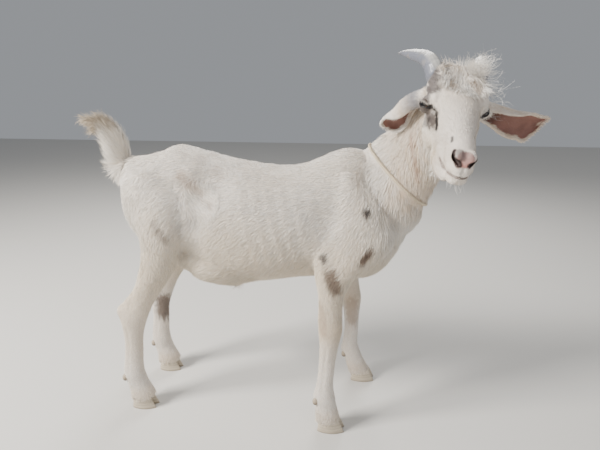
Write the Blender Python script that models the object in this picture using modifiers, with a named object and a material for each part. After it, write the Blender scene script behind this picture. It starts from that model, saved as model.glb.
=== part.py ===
"""A standing young Nubian goat buck, life size, its head turned to its right.

Metres. +X runs from tail to chest, +Y to the animal's left, +Z up. The goat is drawn round a point on the
ground midway between its four feet, and moved at the end so that the origin is the bottom centre of its box.
Flesh is lofted from rings, fused by a voxel remesh, thinned, and parted by thin cuts.
"""

import math
import random

import bmesh
import bpy
import numpy as np
from mathutils import Matrix, Vector

SEED = 7
GAP = 0.0003
RING_SIDES = 28
RINGS_PER_SPAN = 4

# Main sizes of the animal
HEAD_LENGTH = 0.222
EYE_RADIUS = 0.0125
LID_THICKNESS = 0.0022
EYE_OPENING = (0.0108, 0.0050)
EAR_THICKNESS = 0.0028
COLLAR_THICKNESS = 0.0056
COLLAR_CLEARANCE = 0.0014
HOOF_TOP_FRONT = 0.036
HOOF_TOP_REAR = 0.021
CLEFT = 0.0016
CORONET_LEVEL = (HOOF_TOP_FRONT + HOOF_TOP_REAR) / 2
CORONET_RISE = (HOOF_TOP_FRONT - HOOF_TOP_REAR) / 0.06
DEWCLAW_RADII = (0.0070, 0.0060, 0.0095)
DEWCLAW_APART = 0.0115

# Remesh and thinning
BODY_VOXEL = 0.0055
BODY_TRIANGLES = 4300
HEAD_VOXEL = 0.0030
HEAD_TRIANGLES = 2310

# The head's own frame: x from poll to lips, y to the animal's left, z to the crown, in head lengths
HEAD_PLACE = Vector((0.421, -0.147, 0.760))
HEAD_YAW = math.radians(-91.2)
HEAD_PITCH = math.radians(18.6)
HEAD_ROLL = math.radians(-6.3)
HEAD_FRAME = (
    Matrix.Translation(HEAD_PLACE)
    @ Matrix.Rotation(HEAD_YAW, 4, "Z")
    @ Matrix.Rotation(HEAD_PITCH, 4, "Y")
    @ Matrix.Rotation(HEAD_ROLL, 4, "X")
    @ Matrix.Scale(HEAD_LENGTH, 4)
)

# Torso rings: x, top, widest level, bottom, half width
TORSO = (
    (-0.287, 0.585, 0.560, 0.530, 0.022),
    (-0.268, 0.620, 0.553, 0.460, 0.062),
    (-0.232, 0.631, 0.545, 0.420, 0.086),
    (-0.190, 0.640, 0.540, 0.402, 0.092),
    (-0.150, 0.656, 0.530, 0.392, 0.091),
    (-0.100, 0.649, 0.500, 0.368, 0.095),
    (-0.050, 0.636, 0.480, 0.344, 0.102),
    (0.000, 0.625, 0.472, 0.334, 0.107),
    (0.050, 0.618, 0.470, 0.337, 0.109),
    (0.100, 0.614, 0.472, 0.345, 0.107),
    (0.150, 0.620, 0.478, 0.353, 0.101),
    (0.200, 0.641, 0.485, 0.356, 0.092),
    (0.250, 0.656, 0.490, 0.354, 0.084),
    (0.300, 0.638, 0.490, 0.356, 0.072),
    (0.335, 0.590, 0.485, 0.382, 0.058),
    (0.355, 0.545, 0.475, 0.412, 0.040),
    (0.368, 0.510, 0.470, 0.444, 0.018),
)

# Neck rings: centre x, y, z, half depth, half width
NECK = (
    (0.235, 0.000, 0.515, 0.110, 0.062),
    (0.312, -0.002, 0.556, 0.110, 0.066),
    (0.345, -0.016, 0.597, 0.093, 0.060),
    (0.374, -0.047, 0.642, 0.080, 0.052),
    (0.3955, -0.085, 0.684, 0.073, 0.047),
    (0.410, -0.122, 0.719, 0.065, 0.045),
    (0.420, -0.152, 0.742, 0.048, 0.038),
)

# Head rings in the head's frame: x, top, widest level, bottom, half width
HEAD = (
    (-0.085, 0.140, 0.040, -0.080, 0.070),
    (-0.030, 0.215, 0.040, -0.180, 0.132),
    (0.060, 0.258, 0.050, -0.250, 0.168),
    (0.150, 0.266, 0.050, -0.296, 0.184),
    (0.250, 0.256, 0.070, -0.302, 0.194),
    (0.350, 0.236, 0.085, -0.300, 0.198),
    (0.450, 0.200, 0.040, -0.295, 0.168),
    (0.560, 0.158, 0.000, -0.285, 0.140),
    (0.680, 0.112, -0.030, -0.270, 0.116),
    (0.800, 0.072, -0.050, -0.256, 0.098),
    (0.890, 0.040, -0.060, -0.234, 0.084),
    (0.950, 0.014, -0.072, -0.204, 0.072),
    (0.988, -0.022, -0.080, -0.172, 0.052),
    (1.008, -0.060, -0.090, -0.135, 0.030),
)

# Rounded masses of the head in its frame, on both sides: centre, radii
HEAD_MASSES = (
    ((0.320, 0.160, 0.135), (0.105, 0.056, 0.050)),
    ((0.300, 0.110, -0.120), (0.165, 0.078, 0.145)),
    ((0.945, 0.037, -0.026), (0.050, 0.040, 0.050)),
    ((0.870, 0.047, -0.110), (0.100, 0.044, 0.054)),
    ((0.620, 0.058, -0.228), (0.250, 0.076, 0.088)),
    ((0.600, 0.052, -0.130), (0.230, 0.074, 0.120)),
    ((0.890, 0.020, -0.200), (0.070, 0.052, 0.042)),
    ((0.235, 0.146, 0.170), (0.130, 0.074, 0.100)),
    ((0.190, 0.085, 0.200), (0.160, 0.120, 0.092)),
    ((0.120, 0.120, 0.235), (0.100, 0.085, 0.085)),
    ((0.090, 0.000, 0.250), (0.140, 0.140, 0.072)),
)

# Masses of the body on both sides: centre, radii
BODY_MASSES = (
    ((-0.055, 0.000, 0.349), (0.062, 0.030, 0.035)),
    ((-0.085, 0.000, 0.365), (0.050, 0.030, 0.036)),
    ((-0.024, 0.000, 0.323), (0.018, 0.012, 0.014)),
)

# Leg rings: height, rear x, front x, distance from the mid plane, half width
HIND_LEG = (
    (0.600, -0.250, -0.150, 0.050, 0.030),
    (0.560, -0.258, -0.112, 0.058, 0.040),
    (0.500, -0.246, -0.106, 0.062, 0.046),
    (0.457, -0.234, -0.120, 0.064, 0.046),
    (0.420, -0.229, -0.131, 0.066, 0.043),
    (0.363, -0.240, -0.157, 0.071, 0.034),
    (0.315, -0.263, -0.189, 0.075, 0.025),
    (0.293, -0.280, -0.205, 0.076, 0.023),
    (0.266, -0.298, -0.220, 0.077, 0.023),
    (0.240, -0.297, -0.231, 0.078, 0.022),
    (0.205, -0.292, -0.242, 0.079, 0.018),
    (0.165, -0.293, -0.247, 0.080, 0.016),
    (0.125, -0.298, -0.250, 0.081, 0.017),
    (0.092, -0.302, -0.248, 0.082, 0.021),
    (0.068, -0.296, -0.240, 0.082, 0.020),
    (0.046, -0.291, -0.229, 0.082, 0.022),
    (0.010, -0.289, -0.222, 0.082, 0.024),
)
FORE_LEG = (
    (0.615, 0.214, 0.276, 0.038, 0.022),
    (0.570, 0.202, 0.312, 0.050, 0.032),
    (0.510, 0.188, 0.342, 0.060, 0.036),
    (0.455, 0.176, 0.345, 0.068, 0.038),
    (0.418, 0.172, 0.316, 0.075, 0.038),
    (0.388, 0.178, 0.276, 0.081, 0.036),
    (0.350, 0.187, 0.252, 0.087, 0.031),
    (0.313, 0.190, 0.246, 0.091, 0.026),
    (0.285, 0.189, 0.245, 0.093, 0.024),
    (0.255, 0.191, 0.245, 0.095, 0.024),
    (0.228, 0.194, 0.240, 0.097, 0.021),
    (0.195, 0.194, 0.234, 0.099, 0.016),
    (0.150, 0.192, 0.230, 0.101, 0.015),
    (0.115, 0.188, 0.229, 0.103, 0.017),
    (0.088, 0.182, 0.234, 0.104, 0.021),
    (0.066, 0.186, 0.237, 0.105, 0.020),
    (0.046, 0.187, 0.242, 0.105, 0.022),
    (0.010, 0.189, 0.249, 0.105, 0.024),
)
# How far the left fore leg stands ahead of the right one: height, step forward
LEFT_STEP = (
    (0.010, 0.076),
    (0.046, 0.067),
    (0.088, 0.056),
    (0.165, 0.052),
    (0.240, 0.044),
    (0.313, 0.033),
    (0.388, 0.022),
    (0.455, 0.004),
    (0.510, 0.000),
    (0.700, 0.000),
)

# Dewclaws: x and z of the middle
DEWCLAW_PLACE = {
    "fore_left": (0.246, 0.080),
    "fore_right": (0.188, 0.080),
    "hind_left": (-0.296, 0.084),
    "hind_right": (-0.296, 0.084),
}

# Tail core: centre x, z, half depth, half width
TAIL = (
    (-0.272, 0.578, 0.030, 0.028),
    (-0.290, 0.615, 0.026, 0.022),
    (-0.301, 0.652, 0.018, 0.015),
    (-0.311, 0.683, 0.014, 0.012),
    (-0.334, 0.705, 0.010, 0.010),
    (-0.359, 0.713, 0.007, 0.007),
    (-0.376, 0.716, 0.004, 0.004),
)

# Locks of the tail: how far along the core they start, and how far round it, 0 being the side to the back
TAIL_LOCK_ROWS = (0.19, 0.28, 0.37, 0.46, 0.55, 0.64, 0.74, 0.85)
TAIL_LOCK_TURNS = (-1.25, 0.0, 1.25)
TAIL_LOCK_LENGTH = (0.048, 0.036)
TAIL_LOCK_WIDTH = 0.027
# Locks of the poll, in the head's frame: where each row starts, and how it leans forward and outwards
POLL_LOCK_ROWS = ((0.000, -0.70, 2.0), (0.060, 0.50, 2.5), (0.125, 0.60, 4.0), (0.195, 1.30, 12.0))
POLL_LOCK_SIDES = (-0.057, -0.019, 0.019, 0.057)
POLL_LOCK_LENGTH = 0.026
POLL_LOCK_SLOPE = 3.0
POLL_LOCK_RISE = 0.35
POLL_LOCK_WIDTH = 0.017
LOCK_THICKNESS = 0.0038
LOCK_PROFILE = (0.80, 1.00, 0.84, 0.50, 0.08)

# Horn in the head's frame, left side: centre x, y, z, and radius in metres
HORN = (
    (0.140, 0.088, 0.110, 0.0118),
    (0.126, 0.146, 0.205, 0.0168),
    (0.055, 0.190, 0.276, 0.0155),
    (-0.060, 0.233, 0.292, 0.0130),
    (-0.200, 0.299, 0.273, 0.0100),
    (-0.320, 0.366, 0.250, 0.0062),
    (-0.410, 0.420, 0.224, 0.0018),
)
# The left horn leans out less than the right one
HORN_SPREAD = {1: 0.45, -1: 1.0}
HORN_SIDES = 12

# Ears in the head's frame: axis points, the way the hollow faces at the root and at the tip, between which
# places along the ear it turns, how wide and how tightly rolled it is, and how far the tip drifts upwards
EARS = {
    "left": (
        ((0.150, 0.215, 0.015), (0.079, 0.427, -0.060), (0.005, 0.570, -0.120), (-0.120, 0.815, -0.215)),
        (0.85, 0.10, -0.50),
        (0.93, -0.15, 0.10),
        (0.25, 0.85),
        1.0,
        1.0,
        -0.80,
    ),
    "right": (
        ((0.140, -0.200, 0.065), (0.020, -0.285, -0.060), (-0.080, -0.345, -0.205), (-0.160, -0.420, -0.360)),
        (0.05, 0.20, -0.98),
        (1.00, 0.10, -0.05),
        (0.45, 0.80),
        0.92,
        1.30,
        0.10,
    ),
}
# Ears along their length: place from 0 to 1, half width along the curve, half angle of the section in degrees
EAR_SECTION = {
    "left": (
        (0.00, 0.0300, 140),
        (0.14, 0.0335, 118),
        (0.35, 0.0355, 92),
        (0.60, 0.0360, 75),
        (0.76, 0.0335, 66),
        (0.92, 0.0262, 58),
        (0.955, 0.0150, 48),
        (0.970, 0.0070, 38),
        (1.00, 0.0040, 26),
    ),
    "right": (
        (0.00, 0.0260, 140),
        (0.14, 0.0370, 125),
        (0.35, 0.0400, 112),
        (0.60, 0.0385, 84),
        (0.76, 0.0360, 66),
        (0.88, 0.0315, 58),
        (0.94, 0.0240, 52),
        (0.97, 0.0150, 46),
        (1.00, 0.0060, 35),
    ),
}
EAR_STEPS = 14
EAR_ACROSS = 8

# The eyes in the head's frame: the front of the lids on the left and on the right, and the way an eye looks
LID_PLACE = {1: (0.385, 0.228, 0.074), -1: (0.376, -0.252, 0.081)}
EYE_TURN_FORWARD = math.radians(36)
EYE_TURN_UP = math.radians(8)
EYE_SLANT = math.radians(14)

# Mouth line in the head's frame, from its left corner to its front
MOUTH = (
    (0.745, 0.106, -0.156),
    (0.800, 0.100, -0.168),
    (0.870, 0.089, -0.171),
    (0.940, 0.068, -0.158),
    (0.982, 0.036, -0.149),
    (0.996, 0.000, -0.146),
)
MOUTH_DEPTH = 0.0055
MOUTH_HEIGHT = 0.0016

# Nostril in the head's frame, left side: centre line and radius in metres
NOSTRIL = (
    (0.922, 0.074, -0.004, 0.0018),
    (0.950, 0.067, -0.018, 0.0037),
    (0.975, 0.050, -0.040, 0.0036),
    (0.992, 0.032, -0.059, 0.0020),
)

# Colour and roughness of each piece, by the start of its name
PAINT = {
    "collar": ((0.74, 0.67, 0.52), 0.9),
    "eye": ((0.09, 0.05, 0.02), 0.15),
    "dewclaw": ((0.28, 0.23, 0.18), 0.6),
    "hoof": ((0.30, 0.25, 0.19), 0.6),
    "horn": ((0.30, 0.31, 0.31), 0.5),
    "": ((0.80, 0.76, 0.68), 0.9),
}


def clear_scene():
    for thing in list(bpy.data.objects):
        bpy.data.objects.remove(thing)


def group(name):
    made = bpy.data.collections.new(name)
    bpy.context.scene.collection.children.link(made)
    return made


def paint(thing, colour, roughness):
    material = bpy.data.materials.new(thing.name)
    material.use_nodes = True
    shader = material.node_tree.nodes["Principled BSDF"]
    shader.inputs["Base Color"].default_value = (*colour, 1)
    shader.inputs["Roughness"].default_value = roughness
    shader.inputs["Metallic"].default_value = 0.0
    thing.data.materials.clear()
    thing.data.materials.append(material)
    thing.data.polygons.foreach_set("material_index", [0] * len(thing.data.polygons))
    thing.data.shade_smooth()
    thing.data.set_sharp_from_angle(angle=math.radians(50))


def mesh_object(name, points, faces, home):
    mesh = bpy.data.meshes.new(name)
    mesh.from_pydata([tuple(p) for p in points], [], faces)
    mesh.update()
    made = bpy.data.objects.new(name, mesh)
    home.objects.link(made)
    return made


def face_out(thing):
    shape = bmesh.new()
    shape.from_mesh(thing.data)
    bmesh.ops.recalc_face_normals(shape, faces=shape.faces)
    if shape.calc_volume(signed=True) < 0:
        bmesh.ops.reverse_faces(shape, faces=shape.faces)
    shape.to_mesh(thing.data)
    shape.free()


def evaluated_mesh(thing):
    bpy.context.view_layer.update()
    return bpy.data.meshes.new_from_object(thing.evaluated_get(bpy.context.evaluated_depsgraph_get()))


def apply(thing):
    """Gives the object the mesh that its modifiers make."""
    made = evaluated_mesh(thing)
    thing.modifiers.clear()
    thing.data = made


def boolean(thing, operation, other, solver="MANIFOLD"):
    """Joins or cuts by one object or by a collection of them, then removes what it cut with."""
    step = thing.modifiers.new("join", "BOOLEAN")
    step.operation = operation
    step.solver = solver
    if isinstance(other, bpy.types.Collection):
        step.operand_type = "COLLECTION"
        step.collection = other
    else:
        step.object = other
    apply(thing)
    if isinstance(other, bpy.types.Collection):
        for piece in list(other.objects):
            bpy.data.objects.remove(piece)
        bpy.data.collections.remove(other)
    else:
        bpy.data.objects.remove(other)


def closed_surfaces(thing):
    """The separate surfaces of an object, as face lists of one bmesh, the largest first."""
    shape = bmesh.new()
    shape.from_mesh(thing.data)
    waiting = set(shape.faces)
    surfaces = []
    while waiting:
        start = waiting.pop()
        found, edge = [start], [start]
        while edge:
            face = edge.pop()
            for rim in face.edges:
                for other in rim.link_faces:
                    if other in waiting:
                        waiting.remove(other)
                        found.append(other)
                        edge.append(other)
        surfaces.append(found)
    surfaces.sort(key=lambda faces: -sum(face.calc_area() for face in faces))
    return shape, surfaces


def surface_object(name, faces, home):
    corner = {}
    for face in faces:
        for point in face.verts:
            corner.setdefault(point, len(corner))
    return mesh_object(
        name, [p.co for p in corner], [tuple(corner[p] for p in face.verts) for face in faces], home
    )


def keep_largest(thing):
    shape, surfaces = closed_surfaces(thing)
    extra = [face for faces in surfaces[1:] for face in faces]
    bmesh.ops.delete(shape, geom=extra, context="FACES")
    shape.to_mesh(thing.data)
    shape.free()


def table_curve(table, where):
    """The columns of a table, read at places along its first column by a smooth curve through its rows."""
    rows = np.array(table, float)
    if rows[0, 0] > rows[-1, 0]:
        rows = rows[::-1]
    key, values = rows[:, 0], rows[:, 1:]
    slopes = np.gradient(values, key, axis=0)
    at = np.clip(np.asarray(where, float), key[0], key[-1])
    i = np.clip(np.searchsorted(key, at, side="right") - 1, 0, len(key) - 2)
    span = (key[i + 1] - key[i])[:, None]
    t = (at - key[i])[:, None] / span
    return (
        (2 * t**3 - 3 * t**2 + 1) * values[i]
        + (t**3 - 2 * t**2 + t) * span * slopes[i]
        + (3 * t**2 - 2 * t**3) * values[i + 1]
        + (t**3 - t**2) * span * slopes[i + 1]
    )


def numbered(rows):
    """A table whose first column counts its rows, for curves that follow no axis."""
    return [(float(i), *row) for i, row in enumerate(rows)]


def stations(table, per_span=RINGS_PER_SPAN):
    """Places along a table's first column, a few to each pair of rows."""
    key = [row[0] for row in table]
    steps = [np.linspace(a, b, per_span, endpoint=False) for a, b in zip(key, key[1:])]
    return np.append(np.concatenate(steps), key[-1])


def loft(name, rings, home):
    """A closed tube through rings of equal length, with a flat cap at each end, faces out."""
    sides = len(rings[0])
    faces = []
    for r in range(len(rings) - 1):
        for s in range(sides):
            a, b = r * sides + s, r * sides + (s + 1) % sides
            faces.append((a, b, b + sides, a + sides))
    faces.append(tuple(reversed(range(sides))))
    faces.append(tuple(range((len(rings) - 1) * sides, len(rings) * sides)))
    made = mesh_object(name, np.concatenate(rings), faces, home)
    face_out(made)
    return made


def limb(name, centres, ups, half_depths, half_widths, sides, home):
    """A tube along a path, each ring square to it: depth towards its up vector, width across."""
    centres = np.asarray(centres, float)
    along = np.gradient(centres, axis=0)
    turn = np.linspace(0, 2 * math.pi, sides, endpoint=False)
    rings = []
    for centre, way, up, depth, width in zip(centres, along, ups, half_depths, half_widths):
        way = Vector(way).normalized()
        side = way.cross(Vector(up)).normalized()
        up = side.cross(way).normalized()
        offset = np.outer(np.cos(turn), up) * depth + np.outer(np.sin(turn), side) * width
        rings.append(offset + centre)
    return loft(name, rings, home)


def upright_ring(x, top, middle, bottom, half_width, top_power=1.12, bottom_power=0.92):
    """An egg-shaped ring across x: a narrow back over full sides."""
    turn = np.linspace(0, 2 * math.pi, RING_SIDES, endpoint=False)
    up = np.cos(turn)
    side = np.sin(turn)
    rise = np.sign(up) * np.abs(up) ** np.where(up > 0, top_power, bottom_power)
    z = middle + np.where(up > 0, top - middle, middle - bottom) * rise
    y = half_width * np.sign(side) * np.abs(side) ** 0.94
    return np.stack([np.full_like(z, x), y, z], 1)


def torso(home):
    at = stations(TORSO)
    return loft("torso_form", [upright_ring(x, *row) for x, row in zip(at, table_curve(TORSO, at))], home)


def head(home):
    at = stations(HEAD)
    rings = [upright_ring(x, *row, top_power=0.95, bottom_power=1.0) for x, row in zip(at, table_curve(HEAD, at))]
    made = loft("head_form", rings, home)
    made.data.transform(HEAD_FRAME)
    return made


def neck(home):
    table = numbered(NECK)
    rows = table_curve(table, stations(table))
    ups = [(0, 0, 1)] * len(rows)
    return limb("neck_form", rows[:, :3], ups, rows[:, 3], rows[:, 4], RING_SIDES, home)


def tail(home):
    table = numbered(TAIL)
    rows = table_curve(table, stations(table, 3))
    centres = np.stack([rows[:, 0], np.zeros(len(rows)), rows[:, 1]], 1)
    ups = [(1, 0, 0.4)] * len(rows)
    return limb("tail_form", centres, ups, rows[:, 2], rows[:, 3], 20, home)


def leg(name, table, side, home, step=None):
    """A leg from level rings. side is 1 on the left and -1 on the right."""
    at = stations(table)
    ahead = table_curve(step, at)[:, 0] if step else np.zeros(len(at))
    turn = np.linspace(0, 2 * math.pi, RING_SIDES, endpoint=False)
    rings = []
    for z, (rear, front, out, half), forward in zip(at, table_curve(table, at), ahead):
        x = (rear + front) / 2 + forward + (front - rear) / 2 * np.cos(turn)
        y = side * out + half * np.sin(turn)
        rings.append(np.stack([x, y, np.full_like(x, z)], 1))
    return loft(name, rings, home)


def ball(name, centre, radii, home, frame=None, segments=20, rings=12):
    shape = bmesh.new()
    place = Matrix.Translation(centre) @ Matrix.Diagonal((*radii, 1))
    bmesh.ops.create_uvsphere(shape, u_segments=segments, v_segments=rings, radius=1, matrix=(frame or Matrix()) @ place)
    mesh = bpy.data.meshes.new(name)
    shape.to_mesh(mesh)
    shape.free()
    made = bpy.data.objects.new(name, mesh)
    home.objects.link(made)
    return made


def masses(table, frame, home):
    made = []
    for (x, y, z), radii in table:
        for side in (1, -1) if y else (1,):
            made.append(ball("mass", (x, side * y, z), radii, home, frame))
    return made


def fuse(name, pieces, voxel, home):
    """One closed skin round overlapping forms, by a voxel remesh."""
    shape = bmesh.new()
    for piece in pieces:
        shape.from_mesh(piece.data)
        bpy.data.objects.remove(piece)
    mesh = bpy.data.meshes.new(name)
    shape.to_mesh(mesh)
    shape.free()
    made = bpy.data.objects.new(name, mesh)
    home.objects.link(made)
    remesh = made.modifiers.new("fuse", "REMESH")
    remesh.mode = "VOXEL"
    remesh.voxel_size = voxel
    apply(made)
    return made


def smooth(thing, rounds, strength=0.5):
    """Evens the surface, each inward round paid back by an outward one."""
    flat = np.empty(len(thing.data.vertices) * 3)
    thing.data.vertices.foreach_get("co", flat)
    points = flat.reshape(-1, 3)
    ends = np.empty(len(thing.data.edges) * 2, int)
    thing.data.edges.foreach_get("vertices", ends)
    a, b = ends.reshape(-1, 2).T
    count = len(points)
    near = np.bincount(a, minlength=count) + np.bincount(b, minlength=count)
    for turn in range(rounds * 2):
        pull = strength if turn % 2 == 0 else -strength * 1.04
        total = np.stack(
            [np.bincount(a, points[b, k], count) + np.bincount(b, points[a, k], count) for k in range(3)], 1
        )
        points += pull * (total / near[:, None] - points)
    thing.data.vertices.foreach_set("co", points.ravel())
    thing.data.update()


def thin(thing, triangles):
    step = thing.modifiers.new("thin", "DECIMATE")
    step.ratio = triangles / (2 * len(thing.data.polygons))
    step.use_collapse_triangulate = True
    apply(thing)


def blade(name, centre, normal, along, half_length, half_width, home, thickness=GAP):
    """A thin box for a cut: its length runs along the second vector, laid into its plane."""
    normal = Vector(normal).normalized()
    length = Vector(along)
    length = (length - normal * length.dot(normal)).normalized()
    width = normal.cross(length)
    turn = Matrix((length, width, normal)).transposed().to_4x4()
    shape = bmesh.new()
    size = Matrix.Diagonal((2 * half_length, 2 * half_width, thickness, 1))
    bmesh.ops.create_cube(shape, size=1, matrix=Matrix.Translation(centre) @ turn @ size)
    mesh = bpy.data.meshes.new(name)
    shape.to_mesh(mesh)
    shape.free()
    made = bpy.data.objects.new(name, mesh)
    home.objects.link(made)
    return made


def neck_end_plane():
    """Middle and normal of the cut between head and neck: behind the poll and behind the jaw."""
    nape, throat = Vector((-0.078, 0, 0.120)), Vector((0.155, 0, -0.330))
    middle = (nape + throat) / 2
    across = throat - nape
    normal = HEAD_FRAME.to_3x3() @ Vector((-across.z, 0, across.x)) * -1
    return HEAD_FRAME @ middle, normal.normalized(), HEAD_FRAME.to_3x3() @ across


def body_blades(home):
    middle, normal, across = neck_end_plane()
    blade("head_cut", middle, normal, across, 0.09, 0.08, home)
    blade("neck_cut", (0.314, 0, 0.556), (0.905, -0.06, 0.425), (0, 0, 1), 0.14, 0.10, home)
    blade("tail_cut", (-0.291, 0, 0.607), (-0.55, 0, 0.83), (1, 0, 0), 0.046, 0.045, home)
    for side in (1, -1):
        blade("fore_cut", (0.245, side * 0.090, 0.390), (0, -side * 0.64, 0.77), (1, 0, 0), 0.100, 0.078, home)
        blade("hind_cut", (-0.199, side * 0.071, 0.393), (0.272, -side * 0.3, 1), (1, 0, 0), 0.081, 0.062, home)
    for _, heel, toe, out, side in feet():
        place = (coronet_middle(heel, toe), side * out, CORONET_LEVEL)
        blade("foot_cut", place, (-CORONET_RISE, 0, 1), (1, 0, 0), 0.045, 0.035, home)


# Where the middle of each piece of the parted body lies
BODY_PIECES = {
    "tail": (-0.33, 0, 0.66),
    "torso": (0.03, 0, 0.49),
    "neck": (0.37, -0.06, 0.64),
    "foreleg_left": (0.26, 0.10, 0.21),
    "foreleg_right": (0.22, -0.10, 0.21),
    "hindleg_left": (-0.22, 0.08, 0.21),
    "hindleg_right": (-0.22, -0.08, 0.21),
}


def part(thing, names, home):
    """Splits a cut object into its loose pieces and names each by where it lies."""
    shape, surfaces = closed_surfaces(thing)
    made = {}
    for faces in surfaces:
        points = [p.co for face in faces for p in face.verts]
        low = Vector([min(p[k] for p in points) for k in range(3)])
        high = Vector([max(p[k] for p in points) for k in range(3)])
        middle = (low + high) / 2
        name = min(names, key=lambda n: (Vector(names[n]) - middle).length)
        if name not in made and (Vector(names[name]) - middle).length < 0.08:
            made[name] = surface_object(name, faces, home)
    shape.free()
    bpy.data.objects.remove(thing)
    return made


def lock(root, start, end, across, length, width, home):
    """A flat tapered lock that leaves its root one way and ends another, its width along the third vector."""
    steps = len(LOCK_PROFILE) - 1
    point = Vector(root)
    rings = []
    for k, share in enumerate(LOCK_PROFILE):
        way = Vector(start).lerp(Vector(end), k / steps).normalized()
        side = (across - way * way.dot(across)).normalized()
        flat = side.cross(way)
        half, deep = side * width / 2 * share, flat * LOCK_THICKNESS / 2 * share
        rings.append(np.array([point + half, point + deep, point - half, point - deep]))
        point = point + way * length / steps
    made = loft("lock", rings, home)
    triangulate(made)
    return made


def tail_locks(home):
    """The fringe of the raised tail: locks that leave it at its back and sides and point along it."""
    chance = random.Random(SEED)
    table = numbered(TAIL)
    rows = table_curve(table, np.array(TAIL_LOCK_ROWS) * (len(TAIL) - 1))
    ahead = table_curve(table, np.array(TAIL_LOCK_ROWS) * (len(TAIL) - 1) + 0.1)
    for i, (here, there) in enumerate(zip(rows, ahead)):
        along = Vector((there[0] - here[0], 0, there[1] - here[1])).normalized()
        back = Vector((-along.z, 0, along.x))
        for turn in TAIL_LOCK_TURNS:
            turn += chance.uniform(-0.25, 0.25)
            across = Vector((0, 1, 0))
            out = back * math.cos(turn) + across * math.sin(turn)
            wide = along.cross(across if abs(turn) < 0.6 else out)
            root = Vector((here[0], 0, here[1])) + out * min(here[2], here[3]) * 0.35
            t = i / (len(rows) - 1)
            start = along * (0.45 + 0.55 * t) + out * (0.90 - 0.35 * t)
            end = along * (0.75 + 0.25 * t) + out * (0.35 - 0.25 * t) + back * 0.12
            length = TAIL_LOCK_LENGTH[0] * (1 - t) + TAIL_LOCK_LENGTH[1] * t
            length *= chance.uniform(0.88, 1.1)
            lock(root, start, end, wide, length, TAIL_LOCK_WIDTH * (1 - 0.35 * t), home)


def poll_locks(skull, home):
    """The tuft between the horns: locks that rise from the poll and fall outwards and forwards."""
    chance = random.Random(SEED + 1)
    turn = HEAD_FRAME.to_quaternion()
    for x, lean, spread in POLL_LOCK_ROWS:
        for y in POLL_LOCK_SIDES:
            x_here = x + chance.uniform(-0.012, 0.012)
            y_here = y + chance.uniform(-0.006, 0.006)
            above = HEAD_FRAME @ Vector((x_here, y_here, 0.6))
            down = turn @ Vector((0, 0, -1))
            hit, where, _, _ = skull.ray_cast(above, down)
            root = where + down * 0.006
            start = turn @ Vector((lean * 0.5, y_here * spread * 0.7, 0.9))
            end = turn @ Vector((lean, y_here * spread + chance.uniform(-0.2, 0.2), POLL_LOCK_RISE - abs(lean)))
            wide = start.cross(end)
            long = POLL_LOCK_LENGTH * chance.uniform(0.9, 1.15) * (0.90 + POLL_LOCK_SLOPE * y)
            lock(root, start, end, wide, long, POLL_LOCK_WIDTH, home)


def eye_frame(side):
    """Axes at the middle of the eyeball: z looks out, x runs along the opening."""
    out = Vector(
        (
            math.sin(EYE_TURN_FORWARD) * math.cos(EYE_TURN_UP),
            side * math.cos(EYE_TURN_FORWARD) * math.cos(EYE_TURN_UP),
            math.sin(EYE_TURN_UP),
        )
    )
    forward = Vector((math.cos(EYE_SLANT), 0, -math.sin(EYE_SLANT)))
    forward = (forward - out * forward.dot(out)).normalized()
    turn = HEAD_FRAME.to_quaternion().to_matrix()
    out, forward = turn @ out, turn @ forward
    place = HEAD_FRAME @ Vector(LID_PLACE[side])
    place -= out * (EYE_RADIUS + LID_THICKNESS)
    return Matrix.Translation(place) @ Matrix((forward, out.cross(forward), out)).transposed().to_4x4()


def eye(side, name, home, extra=0.0):
    radius = EYE_RADIUS + extra
    turned = eye_frame(side) @ Matrix.Rotation(0.1, 4, "Z")
    return ball(name, (0, 0, 0), (radius,) * 3, home, turned, 18, 10)


def eye_opening(side, home):
    """An almond prism that opens the lids, from the middle of the eye outwards."""
    half_length, half_height = EYE_OPENING
    outline = []
    for k in range(16):
        turn = 2 * math.pi * k / 16
        outline.append((half_length * math.cos(turn), half_height * math.sin(turn) * abs(math.sin(turn)) ** 0.35))
    rings = []
    for out, spread in ((0.0040, 0.88), (0.0300, 1.30)):
        rings.append(np.array([(x * spread, y * spread, out) for x, y in outline]))
    made = loft("eye_opening", rings, home)
    made.data.transform(eye_frame(side))
    face_out(made)
    return made


def mouth_cutter(home):
    """A wedge bent round the muzzle, sharp inside, that leaves the line between the lips."""
    table = numbered(MOUTH)
    half = table_curve(table, stations(table, 3))
    path = np.concatenate([half, half[-2::-1] * (1, -1, 1)])
    along = np.gradient(path, axis=0)
    rings = []
    ends = np.linspace(-1, 1, len(path))
    for point, way, end in zip(path, along, ends):
        out = Vector((way[1], -way[0], 0)).normalized() * -1
        if out.dot(Vector((point[0] - 0.80, point[1], 0))) < 0:
            out = -out
        fade = 1 - 0.6 * max(0.0, (abs(end) - 0.8) / 0.2)
        deep = MOUTH_DEPTH * fade / HEAD_LENGTH
        high = MOUTH_HEIGHT / HEAD_LENGTH
        centre = Vector(point)
        outer = centre + out * 0.020
        rings.append(np.array([outer + Vector((0, 0, high)), centre - out * deep, outer - Vector((0, 0, high))]))
    made = loft("mouth_line", rings, home)
    made.data.transform(HEAD_FRAME)
    face_out(made)
    return made


def nostril_cutter(side, home):
    table = numbered(NOSTRIL)
    rows = table_curve(table, stations(table, 3))
    centres = [HEAD_FRAME @ Vector((x, side * y, z)) for x, y, z, _ in rows]
    ups = [(0, 0, 1)] * len(rows)
    return limb("nostril", [tuple(p) for p in centres], ups, rows[:, 3], rows[:, 3], 8, home)


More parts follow.
